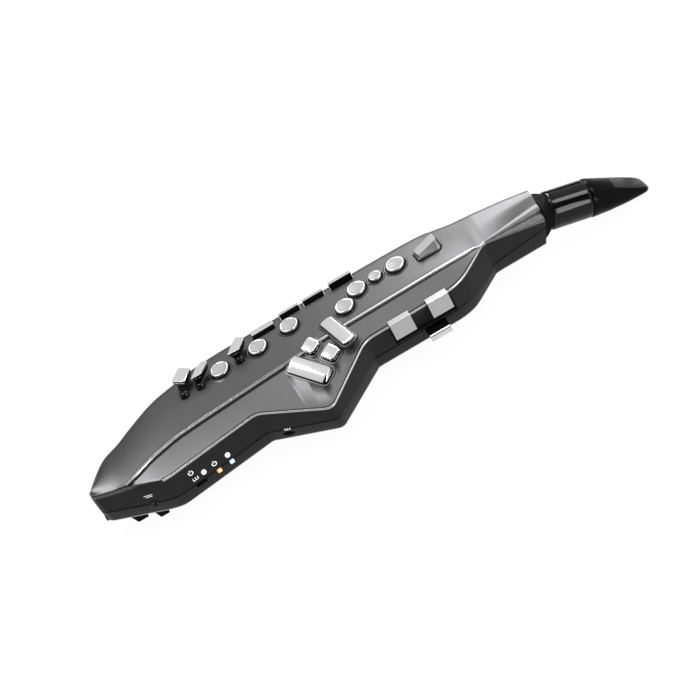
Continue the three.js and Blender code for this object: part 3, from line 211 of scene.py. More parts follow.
CORNER_REACH = along(0.013)
NEAR_REACHES = (1.5, CORNER_REACH, CORNER_REACH, along(0.016), along(0.02), along(0.034), 1.2)
NEAR_POINTS = softened([Vector((along(x), across(y), up(z))) for x, y, z in NEAR_EDGE], NEAR_REACHES)
FAR_POINTS = spline([Vector((along(x), across(y))) for x, y in FAR_EDGE], 10)
RIDGE_POINTS = softened([Vector((along(x), across(y))) for x, y in RIDGE], [CORNER_REACH] * len(RIDGE))
LOW_REACHES = (1.5, CORNER_REACH, 2.0, along(0.012), 1.2, along(0.034), 1.2)
LOW_POINTS = softened([Vector((along(x), across(y))) for x, y, _ in NEAR_EDGE], LOW_REACHES)
near_low = track_of([(p.x, p.y) for p in LOW_POINTS])
near_y = track_of([(p.x, p.y) for p in NEAR_POINTS])
near_z = track_of([(p.x, p.z) for p in NEAR_POINTS])
far_y = track_of([(p.x, p.y) for p in FAR_POINTS])
ridge_line = track_of([(p.x, p.y) for p in RIDGE_POINTS])
step_drop, shelf_z, crown_z, split_z, back_z = (
    track_of([(along(x), up(z)) for x, z in table]) for table in (STEP, SHELF, CROWN, SPLIT, BACK))


def bell_share(x: float) -> float:
    """How much a section belongs to the bell end, where the ridge has run out."""
    return 1 - smooth(along(0.045), along(0.085), x)


def ridge_y(x: float) -> float:
    """Place of the ridge across the housing."""
    return max(ridge_line(x), near_y(x) + EDGE_BEVEL * 1.6)


def facet_z(x: float, y: float) -> float:
    """Height of the tilted near facet."""
    top = shelf_z(x) - step_drop(x)
    return lerp(top, near_z(x), (ridge_y(x) - y) / (ridge_y(x) - near_y(x)))


@dataclass
class Form:
    """A mesh in millimetres, kept as plain vertices and faces."""

    vertices: list[Vector]
    faces: list[tuple[int, ...]]
    finishes: list[int] = field(default_factory=list)

    def placed(self, seat: Matrix) -> "Form":
        """The form moved into a seat's frame."""
        return Form([seat @ v for v in self.vertices], list(self.faces), list(self.finishes))

    def painted(self, finish: int) -> "Form":
        """The form with all its faces on one finish of a list."""
        return Form(self.vertices, self.faces, [finish] * len(self.faces))

    def moved(self, x: float = 0, y: float = 0, z: float = 0) -> "Form":
        """The form shifted along the axes."""
        return self.placed(Matrix.Translation((x, y, z)))

    def __add__(self, other: "Form") -> "Form":
        """Both forms as one mesh of several parts."""
        count = len(self.vertices)
        shifted = [tuple(i + count for i in face) for face in other.faces]
        return Form(self.vertices + other.vertices, self.faces + shifted)


def loft(rings: Sequence[Sequence[Vector]], closed: bool = False) -> Form:
    """Closed body through rings of equal point counts.

    Args:
        rings: the cross-sections in order.
        closed: whether the last ring joins the first, instead of flat ends.

    Returns:
        The lofted form.
    """
    count = len(rings[0])
    vertices = [point.copy() for ring in rings for point in ring]
    spans = len(rings) if closed else len(rings) - 1
    faces: list[tuple[int, ...]] = []
    for ring in range(spans):
        a, b = ring * count, ((ring + 1) % len(rings)) * count
        faces += [(a + k, a + (k + 1) % count, b + (k + 1) % count, b + k) for k in range(count)]
    if not closed:
        faces.append(tuple(range(count))[::-1])
        faces.append(tuple(range((len(rings) - 1) * count, len(rings) * count)))
    return Form(vertices, faces)


def level(outline: Sequence[Point], z: float) -> list[Vector]:
    """An X-Y outline at a height."""
    return [Vector((x, y, z)) for x, y in outline]


def slice_x(outline: Sequence[Point], x: float) -> list[Vector]:
    """A Y-Z outline at a place along X."""
    return [Vector((x, y, z)) for y, z in outline]


def prism(outline: Sequence[Point], z0: float, z1: float) -> Form:
    """An outline raised from z0 to z1."""
    return loft([level(outline, z0), level(outline, z1)])


def block(x0: float, x1: float, y0: float, y1: float, z0: float, z1: float) -> Form:
    """A box between two corners."""
    return prism([(x0, y0), (x1, y0), (x1, y1), (x0, y1)], z0, z1)


def square(half: float, z0: float, z1: float) -> Form:
    """An upright square post or hole."""
    return block(-half, half, -half, half, z0, z1)


def circle(radius: float, sides: int) -> list[Point]:
    """Points of a circle about the origin."""
    turns = [2 * math.pi * i / sides for i in range(sides)]
    return [(radius * math.cos(a), radius * math.sin(a)) for a in turns]


def post(radius: float, z0: float, z1: float, sides: int = 64) -> Form:
    """An upright round post or hole."""
    return prism(circle(radius, sides), z0, z1)


def pin_x(radius: float, x0: float, x1: float, sides: int = 24) -> Form:
    """A round pin along X."""
    return loft([slice_x(circle(radius, sides), x) for x in (x0, x1)])


def run_x(profile: Sequence[Point], length: float) -> Form:
    """A Y-Z profile run along X, centred on the origin."""
    return loft([slice_x(profile, x) for x in (-length / 2, length / 2)])


def run_y(profile: Sequence[Point], y0: float, y1: float) -> Form:
    """An X-Z profile run along Y."""
    return loft([[Vector((x, y, z)) for x, z in profile] for y in (y0, y1)])


def turned(profile: Sequence[Point], sides: int = 64) -> Form:
    """A body turned about Z from (radius, height) points that run from axis to axis."""
    return loft([level(circle(max(r, 0.01), sides), h) for r, h in profile])


def turned_ring(profile: Sequence[Point], sides: int = 64) -> Form:
    """A ring turned about Z from a closed (radius, height) profile."""
    return loft([[Vector((r * x, r * y, h)) for r, h in profile] for x, y in circle(1, sides)], closed=True)


def about(form: Form, axis: str, turn: float) -> Form:
    """A form turned about an axis."""
    return form.placed(Matrix.Rotation(turn, 4, axis))


def about_x(form: Form) -> Form:
    """A form about Z laid along X."""
    return about(form, "Y", math.pi / 2)


def about_y(form: Form) -> Form:
    """A form about Z laid along Y."""
    return about(form, "X", -math.pi / 2)


def rounded(points: Sequence[Point], radii: Sequence[float] | float, steps: int = 4) -> list[Point]:
    """Closed outline with each corner rounded by an arc-like curve.

    Args:
        points: the corners in order.
        radii: how far each curve reaches along its sides, or one reach for all.
        steps: pieces of each curve.

    Returns:
        The rounded outline, with steps + 1 points for each corner.
    """
    reaches = [radii] * len(points) if isinstance(radii, (int, float)) else list(radii)
    outline: list[Point] = []
    for i, corner in enumerate(points):
        here = Vector(corner)
        before = Vector(points[i - 1]) - here
        after = Vector(points[(i + 1) % len(points)]) - here
        start = here + before * min(0.48, reaches[i] / max(before.length, 1e-6))
        end = here + after * min(0.48, reaches[i] / max(after.length, 1e-6))
        for k in range(steps + 1):
            t = k / steps
            bent = start * (1 - t) ** 2 + here * (2 * t * (1 - t)) + end * t ** 2
            outline.append((bent.x, bent.y))
    return outline


def box_outline(width: float, height: float, radius: float, steps: int = 8) -> list[Point]:
    """Outline of a rounded rectangle about the origin.

    Args:
        width: its size along X.
        height: its size along Y.
        radius: radius of its corners.
        steps: pieces of each corner.

    Returns:
        The outline's points.
    """
    w, h = width / 2, height / 2
    corners = ((w - radius, -h + radius, -90), (w - radius, h - radius, 0),
               (-w + radius, h - radius, 90), (-w + radius, -h + radius, 180))
    outline = []
    for x, y, start in corners:
        for k in range(steps + 1):
            a = math.radians(start + 90 * k / steps)
            outline.append((x + radius * math.cos(a), y + radius * math.sin(a)))
    return outline


class Grain(Enum):
    """Kinds of fine surface texture."""

    PAINT = "paint"
    BRUSHED = "brushed"
    MOULDED = "moulded"
    PEARL = "pearl"


class Graph:
    """Short ways to add and link the nodes of a tree."""

    def __init__(self, tree: bpy.types.NodeTree) -> None:
        """Takes the tree to work on."""
        self.tree = tree

    def feed(self, node: bpy.types.Node, inputs: dict[str | int, object]) -> None:
        """Sets or links the inputs of a node.

        Args:
            node: the node.
            inputs: for each input a value to set or a socket to link.
        """
        for name, value in inputs.items():
            if isinstance(value, bpy.types.NodeSocket):
                self.tree.links.new(value, node.inputs[name])
            else:
                node.inputs[name].default_value = value

    def node(self, kind: str, inputs: dict[str | int, object] | None = None,
             **settings: object) -> bpy.types.Node:
        """A new shader node.

        Args:
            kind: its type, without the words ShaderNode.
            inputs: values or sockets for its inputs.
            settings: its own settings.

        Returns:
            The node.
        """
        made = self.tree.nodes.new(f"ShaderNode{kind}")
        for name, value in settings.items():
            setattr(made, name, value)
        self.feed(made, inputs or {})
        return made

    def sum_of(self, operation: str, *values: object) -> bpy.types.NodeSocket:
        """Result of a Math node."""
        return self.node("Math", dict(enumerate(values)), operation=operation).outputs[0]


def surface_group(kind: Grain) -> bpy.types.NodeTree:
    """Node group that gives the fine texture of a kind of surface.

    Args:
        kind: the texture wanted.

    Returns:
        A group with Scale and Wear inputs and Shade, Rough, Height and Edge outputs.
    """
    name = f"surface_{kind.value}"
    if name in bpy.data.node_groups:
        return bpy.data.node_groups[name]
    tree = bpy.data.node_groups.new(name, "ShaderNodeTree")
    for way, labels in (("INPUT", ("Scale", "Wear")), ("OUTPUT", ("Shade", "Rough", "Height", "Edge"))):
        for label in labels:
            tree.interface.new_socket(label, in_out=way, socket_type="NodeSocketFloat")
    graph, given = Graph(tree), tree.nodes.new("NodeGroupInput").outputs
    result = tree.nodes.new("NodeGroupOutput")
    place = graph.node("TexCoord").outputs["Object"]
    stretch = graph.node("Mapping", {"Vector": place, "Scale": (0.06 if kind is Grain.BRUSHED else 1, 1, 1)})
    cells = kind is Grain.PAINT
    fine = graph.node("TexVoronoi" if cells else "TexNoise",
                      {"Vector": stretch.outputs["Vector"], "Scale": given["Scale"]})
    height = fine.outputs["Distance" if cells else 0]
    size = 90 if kind is Grain.PEARL else 26
    broad = graph.node("TexNoise", {"Vector": place, "Scale": size, "Detail": 6}).outputs[0]
    smudge = graph.node("TexNoise", {"Vector": place, "Scale": 9, "Detail": 3, "Roughness": 0.7}).outputs[0]
    blend = graph.sum_of("MULTIPLY_ADD", height, 0.55, graph.sum_of("MULTIPLY", broad, 0.45))
    pointed = graph.node("NewGeometry").outputs["Pointiness"]
    ramp = graph.node("MapRange", {"Value": pointed, "From Min": 0.52, "From Max": 0.6}).outputs["Result"]
    worn = graph.sum_of("MULTIPLY", graph.sum_of("MULTIPLY", ramp, broad), given["Wear"])
    graph.feed(result, {"Shade": blend, "Rough": smudge, "Height": height, "Edge": worn})
    return tree


WORN = (0.5, 0.5, 0.5, 1)
BUMP_HEIGHT = 0.0002


@dataclass(frozen=True)
class Finish:
    """A finish: its colour as a linear value, its gloss, its fine texture and the record's slot for it."""

    name: str
    colour: tuple[float, float, float]
    roughness: float
    metallic: float = 0.0
    grain: Grain = Grain.MOULDED
    scale: float = 900.0
    depth: float = 0.06
    shade: float = 0.1
    smear: float = 0.06
    wear: float = 0.3
    specular: float = 0.5
    glow: float = 0.0
    slot: str = ""

    def material(self) -> bpy.types.Material:
        """The finish's material, made once.

        Returns:
            The material, which later calls share.
        """
        if self.name in bpy.data.materials:
            return bpy.data.materials[self.name]
        made = bpy.data.materials.new(self.name)
        made.use_nodes = True
        graph = Graph(made.node_tree)
        texture = graph.node("Group", {"Scale": self.scale, "Wear": self.wear},
                             node_tree=surface_group(self.grain)).outputs
        tone = graph.node("MapRange", {"Value": texture["Shade"], "To Min": 1 - self.shade,
                                       "To Max": 1 + self.shade})
        tint = graph.node("VectorMath", {0: self.colour, "Scale": tone.outputs["Result"]}, operation="SCALE")
        rub = graph.node("Mix", {"Factor": texture["Edge"], "A": tint.outputs["Vector"], "B": WORN},
                         data_type="RGBA")
        gloss = graph.node("MapRange", {"Value": texture["Rough"],
                                        "To Min": max(0.02, self.roughness - self.smear),
                                        "To Max": self.roughness + self.smear})
        bump = graph.node("Bump", {"Strength": self.depth, "Distance": BUMP_HEIGHT,
                                   "Height": texture["Height"]})
        glow = {"Emission Color": (*self.colour, 1), "Emission Strength": self.glow} if self.glow else {}
        graph.feed(made.node_tree.nodes["Principled BSDF"], {
            "Metallic": self.metallic, "Specular IOR Level": self.specular, "Base Color": rub.outputs["Result"],
            "Roughness": gloss.outputs["Result"], "Normal": bump.outputs["Normal"], **glow})
        return made


PANEL_PAINT = Finish("panel_graphite", (0.081, 0.081, 0.0825), 0.36, 0.92, Grain.PAINT, 1500, 0.1, 0.16,
                     0.05, 0.06)
# The beads take a far lighter copy of the graphite paint: painted highlight lines along the edges.
BEAD_HIGHLIGHT_PAINT = Finish("bead_graphite_painted_highlight", (0.42, 0.42, 0.422), 0.28, 0.95, Grain.PAINT, 1500, 0.04, 0.06, 0.04, 0.1)
# The walls and the back take a far darker copy of the graphite paint: painted shade.
SHADE_CHARCOAL = (0.011, 0.011, 0.0112)
SIDE_SHADE_PAINT = Finish("side_charcoal_painted_shade", SHADE_CHARCOAL, 0.36, 0, Grain.PAINT, 1500, 0.12, 0.15, 0.05, 0.02, 0.09,
                    slot="shell")
BACK_SHADE_PAINT = Finish("back_charcoal_painted_shade", SHADE_CHARCOAL, 0.34, 0, Grain.MOULDED, 1400, 0.16, 0.12, 0.05, 0.02, 0.12,
                    slot="back")
SOFT_BLACK, BLACKEST = (0.008, 0.008, 0.008), (0.002, 0.002, 0.0021)
# What is cut into the shells takes near-black paint: painted shade in the wells, gaps, pockets and hollow.
WELL_SHADE_PAINT = Finish("well_black_painted_shade", SOFT_BLACK, 0.5, depth=0.1, wear=0.01, specular=0.15)
PEARL = Finish("key_pearl", (0.225, 0.225, 0.228), 0.36, 0, Grain.PEARL, 420, 0.05, 0.14, 0.08, 0.05, 0.35,
               slot="pearl")
SATIN = Finish("satin_rim", (0.38, 0.38, 0.384), 0.32, 1, Grain.BRUSHED, 1800, 0.04, 0.08, 0.05, 0.1,
               slot="pearl")
WEDGE_SATIN = Finish("satin_wedge", (0.34, 0.34, 0.345), 0.32, 0.9, Grain.BRUSHED, 1500, 0.06, 0.12, 0.05, 0.2,
                     slot="chrome")
CHROME = Finish("key_chrome", (0.62, 0.62, 0.625), 0.13, 1, Grain.BRUSHED, 1500, 0.015, 0.05, 0.03, 0.1,
                slot="chrome")
# A darker copy of the key chrome for the palm keys' outward faces: painted shade.
FACE_SHADE_CHROME = Finish("face_chrome_painted_shade", (0.42, 0.42, 0.424), 0.3, 1, Grain.BRUSHED, 1500, 0.03, 0.06, 0.04, 0.1)
GLOSS = Finish("gloss_black", BLACKEST, 0.07, 0, Grain.MOULDED, 260, 0.02, 0.1, 0.03, 0.01, 0.2, slot="black")
BLACK = Finish("satin_black", BLACKEST, 0.2, 0, Grain.MOULDED, 900, 0.06, 0.1, 0.05, 0.01, 0.06, slot="black")
EBONITE = Finish("ebonite", BLACKEST, 0.12, 0, Grain.MOULDED, 420, 0.03, 0.12, 0.05, 0.01, 0.05, slot="black")
# A lighter, glossier copy of the ebonite for the beak's cut facet: a painted highlight.
BEAK_HIGHLIGHT = Finish("beak_facet_painted_highlight", SOFT_BLACK, 0.26, 0, Grain.MOULDED, 420, 0.03, 0.12, 0.05, 0.01, 0.2)
RUBBER = Finish("matt_rubber", (0.003, 0.003, 0.0031), 0.45, scale=1900, depth=0.25, shade=0.2, wear=0.01,
                specular=0.03, slot="rubber")
REED = Finish("reed_black", SOFT_BLACK, 0.35, 0, Grain.BRUSHED, 1600, 0.1, 0.2, 0.08, 0.02, slot="black")
STEEL = Finish("brushed_steel", (0.55, 0.55, 0.56), 0.24, 1, Grain.BRUSHED, 1500, 0.05, 0.1, slot="steel")
PRINT = Finish("white_print", (0.95, 0.95, 0.95), 0.5, scale=1600, depth=0.05, shade=0.04)
AMBER = Finish("lamp_amber", (1.0, 0.36, 0.06), 0.25, scale=1200, depth=0.04, shade=0.15, glow=0.75)
AMBER_CORE = Finish("lamp_amber_core", (1.0, 0.72, 0.4), 0.25, scale=1200, depth=0.02, shade=0.05, glow=0.9)
BLUE = Finish("lamp_blue", (0.42, 0.6, 1.0), 0.25, scale=1200, depth=0.04, shade=0.15, glow=0.7)
BLUE_CORE = Finish("lamp_blue_core", (0.85, 0.92, 1.0), 0.25, scale=1200, depth=0.02, shade=0.05, glow=0.95)
BOARD = Finish("circuit_board", (0.02, 0.12, 0.06), 0.4, scale=700, depth=0.08, shade=0.3)
CELL_JACKET = Finish("cell_jacket", (0.16, 0.17, 0.18), 0.3, 0.2, scale=700, depth=0.04, shade=0.12)
TUBING = Finish("silicone", (0.32, 0.33, 0.33), 0.45, scale=600, shade=0.12)


class Workshop:
    """Turns forms into Blender objects that ride on the frame's bodies."""

    def __init__(self) -> None:
        """Finds the instrument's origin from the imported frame."""
        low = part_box("front_shell")[0]
        key_low, key_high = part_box("round_key_5")
        self.origin = Vector((low.x, (key_low.y + key_high.y) / 2 - across(0.802) * METRE, FOOT_HEIGHT * METRE))

    def place(self, form: Form, name: str, finishes: Sequence[Finish] = ()) -> bpy.types.Object:
        """An object in metres of the row frame, merged and facing outward.

        Args:
            form: its shape.
            name: its name.
            finishes: the finishes that the form's faces name by their place here.

        Returns:
            The object, linked to the scene.
        """
        mesh = bpy.data.meshes.new(name)
        work = bmesh.new()
        points = [work.verts.new(self.origin + v * METRE) for v in form.vertices]
        for face, finish in zip(form.faces, form.finishes or [0] * len(form.faces)):
            work.faces.new([points[i] for i in face]).material_index = finish
        bmesh.ops.remove_doubles(work, verts=work.verts, dist=1e-7)
        bmesh.ops.recalc_face_normals(work, faces=work.faces)
        work.to_mesh(mesh)
        work.free()
        for finish in finishes:
            mesh.materials.append(finish.material())
        made = bpy.data.objects.new(name, mesh)
        bpy.context.scene.collection.objects.link(made)
        return made

    def piece(self, name: str, form: Form, finish: Finish, body: str = "housing", bevel: float = 0.0,
              angle: float = 32.0, slot: str | None = None) -> bpy.types.Object:
        """One visible piece, which stands for the CAD node of its name if there is one.

        Args:
            name: the object's name.
            form: its shape.
            finish: its finish.
            body: the frame's body that carries it.
            bevel: width of its softened edges.
            angle: smallest turn between faces that stays a crisp edge.
            slot: the record's material slot, where it isn't the finish's own.

        Returns:
            The finished object.
        """
        return self.dress(self.place(form, name), finish, body, bevel, angle, slot)

    def dress(self, made: bpy.types.Object, finish: Finish, body: str = "housing", bevel: float = 0.0,
              angle: float = 32.0, slot: str | None = None) -> bpy.types.Object:
        """Gives an object its finish, soft edges, shading and body.

        Args:
            made: the object.
            finish: its finish, where its mesh has none yet.
            body: the frame's body that carries it.
            bevel: width of its softened edges.
            angle: smallest turn between faces that stays a crisp edge.
            slot: not used; the record's material slot, where it isn't the finish's own.

        Returns:
            The same object.
        """
        if not made.data.materials:
            made.data.materials.append(finish.material())
        made.data.polygons.foreach_set("use_smooth", [True] * len(made.data.polygons))
        made.data.set_sharp_from_angle(angle=math.radians(angle))
        if bevel:
            soft = made.modifiers.new("soft_edges", "BEVEL")
            soft.width, soft.segments = bevel * METRE, 3
            soft.limit_method, soft.angle_limit = "ANGLE", math.radians(angle)
            soft.harden_normals = soft.use_clamp_overlap = True
        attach(made, body)
        # Blender adds a number to the name, since the frame's node has it already.
        node = made.name.split(".")[0]
        slot = finish.slot if slot is None else slot
        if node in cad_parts:
            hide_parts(node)
        LOG.info("piece %s: %d faces", made.name, len(made.data.polygons))
        return made

    def carve(self, form: Form, name: str, cuts: Iterable[Form], adds: Iterable[Form] = (),
              finishes: Sequence[Finish] = ()) -> bpy.types.Object:
        """A form with other forms joined and then cut away.

        Args:
            form: the starting shape.
            name: name of the object.
            cuts: forms taken away.
            adds: forms joined before the cuts.
            finishes: the finishes that the forms' faces name by their place here.

        Returns:
            An object that isn't dressed yet.
        """
        made, helpers = self.place(form, name, finishes), []
        for operation, forms in (("UNION", adds), ("DIFFERENCE", cuts)):
            for tool in forms:
                helpers.append(self.place(tool, "tool", finishes))
                change = made.modifiers.new("change", "BOOLEAN")
                change.operation, change.solver, change.object = operation, "MANIFOLD", helpers[-1]
        result = bpy.data.meshes.new_from_object(made.evaluated_get(bpy.context.evaluated_depsgraph_get()))
        made.modifiers.clear()
        made.data = result
        if not finishes:
            result.materials.clear()
        for helper in helpers:
            bpy.data.objects.remove(helper)
        return made

    def form_of(self, made: bpy.types.Object) -> Form:
        """An object's mesh as a form again, after which the object is gone."""
        vertices = [(v.co - self.origin) / METRE for v in made.data.vertices]
        faces = [tuple(p.vertices) for p in made.data.polygons]
        bpy.data.objects.remove(made)
        return Form(vertices, faces)


SHOP = Workshop()


def seat_at(x: float, y: float, z: float, turn: float = 0.0, axis: str = "Z") -> Matrix:
    """Seat at a place, turned about an axis."""
    return Matrix.Translation((x, y, z)) @ Matrix.Rotation(turn, 4, axis)


def on_panel(x: float, y: float, turn: float = 0.0) -> Matrix:
    """Seat on the flat panel, turned in degrees."""
    return seat_at(along(x), across(y), up(1), math.radians(turn))


def on_facet(x: float, y: float, turn: float) -> Matrix:
    """Seat on the tilted near facet, turned in degrees."""
    place = seat_at(along(x), across(y), facet_z(along(x), across(y)), TILT, "X")
    return place @ Matrix.Rotation(math.radians(turn), 4, "Z")


def edge_turn(line: Track, x: float, reach: float) -> float:
    """Direction of an edge line about x."""
    return math.atan2(line(x + reach) - line(x - reach), 2 * reach)


def far_seat(share: float) -> Matrix:
    """Seat on the far edge, with Y pointing out of the body."""
    x = along(share)
    return seat_at(x, far_y(x), crown_z(x), edge_turn(far_y, x, SIDE_LENGTH / 2))


def near_seat(share: float) -> Matrix:
    """Seat on the near edge, with Y pointing out of the body."""
    x = along(share)
    return seat_at(x, near_y(x), near_z(x), math.pi + edge_turn(near_y, x, PALM_LENGTH / 2))


def wall_seat(share: float, z: float) -> Matrix:
    """Seat on the near wall, with Y pointing out of it."""
    x = along(share)
    return seat_at(x, near_y(x) - NEAR_FLARE, up(z), math.pi + edge_turn(near_y, x, along(0.01)))


MOUTH_SEAT = seat_at(along(0.99), across(0.669), up(0.633), math.radians(15), "Y")
FLOOR_BOTTOM = -PANEL - up(0.012)
STOP_TOP = FLOOR_BOTTOM - CLEARANCE
STOP_BOTTOM = STOP_TOP - up(0.024)
STOP_REACH = STOP_BOTTOM - TRAVEL - CLEARANCE
STOP_SHARE = 1.35
WELL_TOP = up(0.4)
HINGE_RADIUS = up(0.05)
PIN_RADIUS = up(0.024)
PIN_REACH = up(0.03)
FLAP_THICKNESS = up(0.036)
COLLAR_WIDTH = 1.9
COLLAR_HEIGHT = 0.6
CORNER_SHARE = 0.2
STEM_SHARE = 0.24


def hinge_pin(half: float, y: float = 0, z: float = 0, gap: float = 0) -> Form:
    """A hinge pin along X that reaches past both sides, or its hole where it has a gap."""
    return pin_x(PIN_RADIUS + gap, -half - PIN_REACH, half + PIN_REACH).moved(0, y, z)


def well_with_stem(outline: Sequence[Point], stem: float, stop: float) -> list[Form]:
    """A well of an outline, with the stepped hole of a square stem."""
    hole, stop = stem + CLEARANCE, stop + CLEARANCE
    return [prism(outline, -WELL_DEPTH, WELL_TOP), square(hole, FLOOR_BOTTOM, 0), square(stop, STOP_REACH,
                                                                                         FLOOR_BOTTOM)]


@dataclass
class Key:
    """What all keys share: a name, a seat, and forms that shape the panel round them."""

    name: str
    seat: Matrix

    def cuts(self) -> list[Form]:
        """Forms cut out of the panel, in the seat's frame."""
        return []

    def adds(self) -> list[Form]:
        """Forms joined to the panel, in the seat's frame."""
        return []

    def linings(self) -> list[Form]:
        """Forms kept solid inside the housing, in the seat's frame."""
        return []

    def build(self) -> None:
        """Makes the key's pieces."""

    def show(self, form: Form, finish: Finish, part: str = "", bevel: float = 0.0,
             angle: float = 32.0) -> bpy.types.Object:
        """One piece of the key, on the key's own body."""
        return SHOP.piece(self.name + part, form.placed(self.seat), finish, self.name, bevel, angle)


@dataclass
class RoundKey(Key):
    """A round pad: a metal rim round a pearl centre, on a stem through the panel."""

    diameter: float = KEY_DIAMETER
    rise: float = up(0.084)
    stem: float = 0.42
    stop: float = 0.54
    pearl: float = 0.74
    sides: int = 80

    def cuts(self) -> list[Form]:
        """The round well and the stem's stepped hole."""
        r = self.diameter / 2
        return [post(r + WELL_GAP, -WELL_DEPTH, up(0.3)), post(r * self.stem + CLEARANCE, FLOOR_BOTTOM, 0),
                post(r * self.stop + CLEARANCE, STOP_REACH, FLOOR_BOTTOM)]

    def adds(self) -> list[Form]:
        """The raised collar round the well.

        Returns:
            The collar, whose top band has the panel's finish and whose other bands the dark side paint, a
            painted shade that draws a dark line round it.
        """
        well, h = self.diameter / 2 + WELL_GAP, COLLAR_HEIGHT
        r = well + COLLAR_WIDTH
        collar = turned([(0, -2), (r, -2), (r, 0.02), (r - 0.3, h * 0.75), (r - 0.6, h), (well + 0.4, h * 0.7),
                         (well, h * 0.5), (0, h * 0.5)], self.sides)
        # Bands other than the top take finish 0, the dark side paint: painted shade on the collar's slopes.
        top_band = 4
        collar.finishes = [int(band == top_band) for band in range(7) for _ in range(self.sides)] + [0, 0]
        return [collar]

    def build(self) -> None:
        """Makes the rim with its stem, and the pearl centre."""
        r, top = self.diameter / 2, self.rise
        inner, stem, stop = r * self.pearl, r * self.stem, r * self.stop
        rim = turned([
            (0, STOP_BOTTOM), (stop, STOP_BOTTOM), (stop, STOP_TOP), (stem, STOP_TOP), (stem, 0), (r - 0.35, 0),
            (r, 0.3), (r, top * 0.55), (r - 0.12, top * 0.78), (r - 0.45, top * 0.93), (r - 1.0, top),
            (inner + 0.45, top * 0.985), (inner + 0.05, top * 0.93), (inner, top * 0.72), (0, top * 0.72),
        ], self.sides)
        self.show(rim, SATIN, angle=50)
        steps = 8
        dish = [(inner - 0.06, top * 0.7), (inner - 0.06, top * 0.88), (inner - 0.3, top * 0.92)]
        dish += [(inner * (1 - i / steps) * 0.95, top * (0.92 - 0.14 * math.sin(math.pi / 2 * i / steps)))
                 for i in range(1, steps + 1)]
        self.show(turned([(0, top * 0.7), *dish], 64), PEARL, "_pearl", angle=50)


@dataclass
class BarKey(Key):
    """A bar pad: a bevelled cap with rounded corners on a square stem."""

    width: float = TABLE_WIDTH
    length: float = TABLE_WIDTH
    rise: float = up(0.1)
    edge: float = 0.9
    slope: float = 0.0
    skirt: float = 0.4

    def grown(self, gap: float) -> list[Point]:
        """The key's outline, grown on all sides."""
        return box_outline(self.width + gap * 2, self.length + gap * 2, self.width * CORNER_SHARE + gap)

    def cuts(self) -> list[Form]:
        """The rounded well and the stem's stepped hole."""
        stem = self.width * STEM_SHARE
        return well_with_stem(self.grown(WELL_GAP), stem, stem * STOP_SHARE)

    def adds(self) -> list[Form]:
        """The raised border round the well."""
        collar = loft([level(self.grown(WELL_GAP + COLLAR_WIDTH - inset), height) for inset, height in (
            (0, -2), (0, 0.02), (0.3, COLLAR_HEIGHT * 0.75), (0.6, COLLAR_HEIGHT))])
        # All but the top take finish 0, the dark side paint: painted shade on the border's sides.
        collar.finishes = [0] * (len(collar.faces) - 1) + [1]
        return [collar]

    def build(self) -> None:
        """Makes the cap with its stem."""
        skirt, stem = self.rise * self.skirt, self.width * STEM_SHARE
        brow = self.rise - self.edge * 0.55 - self.slope * 0.42
        rings = []
        for inset, height, share in (
            (0.25, 0.0, 0.0), (0.0, 0.25, 0.0), (0.0, skirt, 0.0), (0.32, skirt + 0.1, 0.0),
            (0.32, skirt + 0.4, 0.0),
            (0.0, skirt + 0.5, 0.0), (self.edge * 0.1, max(brow, skirt + 0.7), 0.04),
            (self.edge, self.rise - 0.04, 0.97), (self.edge + 0.25, self.rise, 1.0),
        ):
            lean = self.slope * share
            outline = box_outline(self.width - inset * 2 - lean, self.length - inset * 2,
                                  max(self.width * CORNER_SHARE - inset * 0.4, 0.6))
            rings.append(level([(x + lean / 2, y) for x, y in outline], height))
        form = loft(rings) + square(stem, STOP_TOP, 0.2) + square(stem * STOP_SHARE, STOP_BOTTOM, STOP_TOP)
        self.show(form, CHROME, angle=20)


WEDGE_LENGTH = along(0.054)
WEDGE_BASE = ((-0.44, -0.32), (0.4, -0.34), (0.49, -0.19), (0.46, 0.3), (0.36, 0.33), (-0.49, 0.12))
WEDGE_TOP = ((-0.385, -0.28), (0.39, -0.105), (0.455, 0.0), (0.41, 0.28), (0.33, 0.29), (-0.45, 0.085))


@dataclass
class WedgeKey(Key):
    """The sloping faceted touch beside the neck."""

    rise: float = up(0.19)
    stem: float = WEDGE_LENGTH * 0.1

    def cuts(self) -> list[Form]:
        """The well of the wedge's outline and the stem's hole."""
        outline = [(u * (WEDGE_LENGTH + WELL_GAP * 3), v * (WEDGE_LENGTH + WELL_GAP * 4)) for u,
                   v in WEDGE_BASE]
        return well_with_stem(outline, self.stem, self.stem * STOP_SHARE)

    def build(self) -> None:
        """Makes the wedge on its stepped foot."""
        base, top = (rounded([(u * WEDGE_LENGTH, v * WEDGE_LENGTH) for u, v in outline], radius, 4)
                     for outline, radius in ((WEDGE_BASE, 1.6), (WEDGE_TOP, 0.9)))
        waist = [(x * 0.97, y * 0.97) for x, y in base]
        slope = [Vector((x, y, self.rise * (0.82 + 0.4 * (x / WEDGE_LENGTH)))) for x, y in top]
        form = loft([level(base, 0), level(base, self.rise * 0.2), level(waist, self.rise * 0.22),
                     level(waist, self.rise * 0.3), slope])
        self.show(form + square(self.stem, STOP_BOTTOM, 0.2), WEDGE_SATIN, bevel=0.35, angle=24)


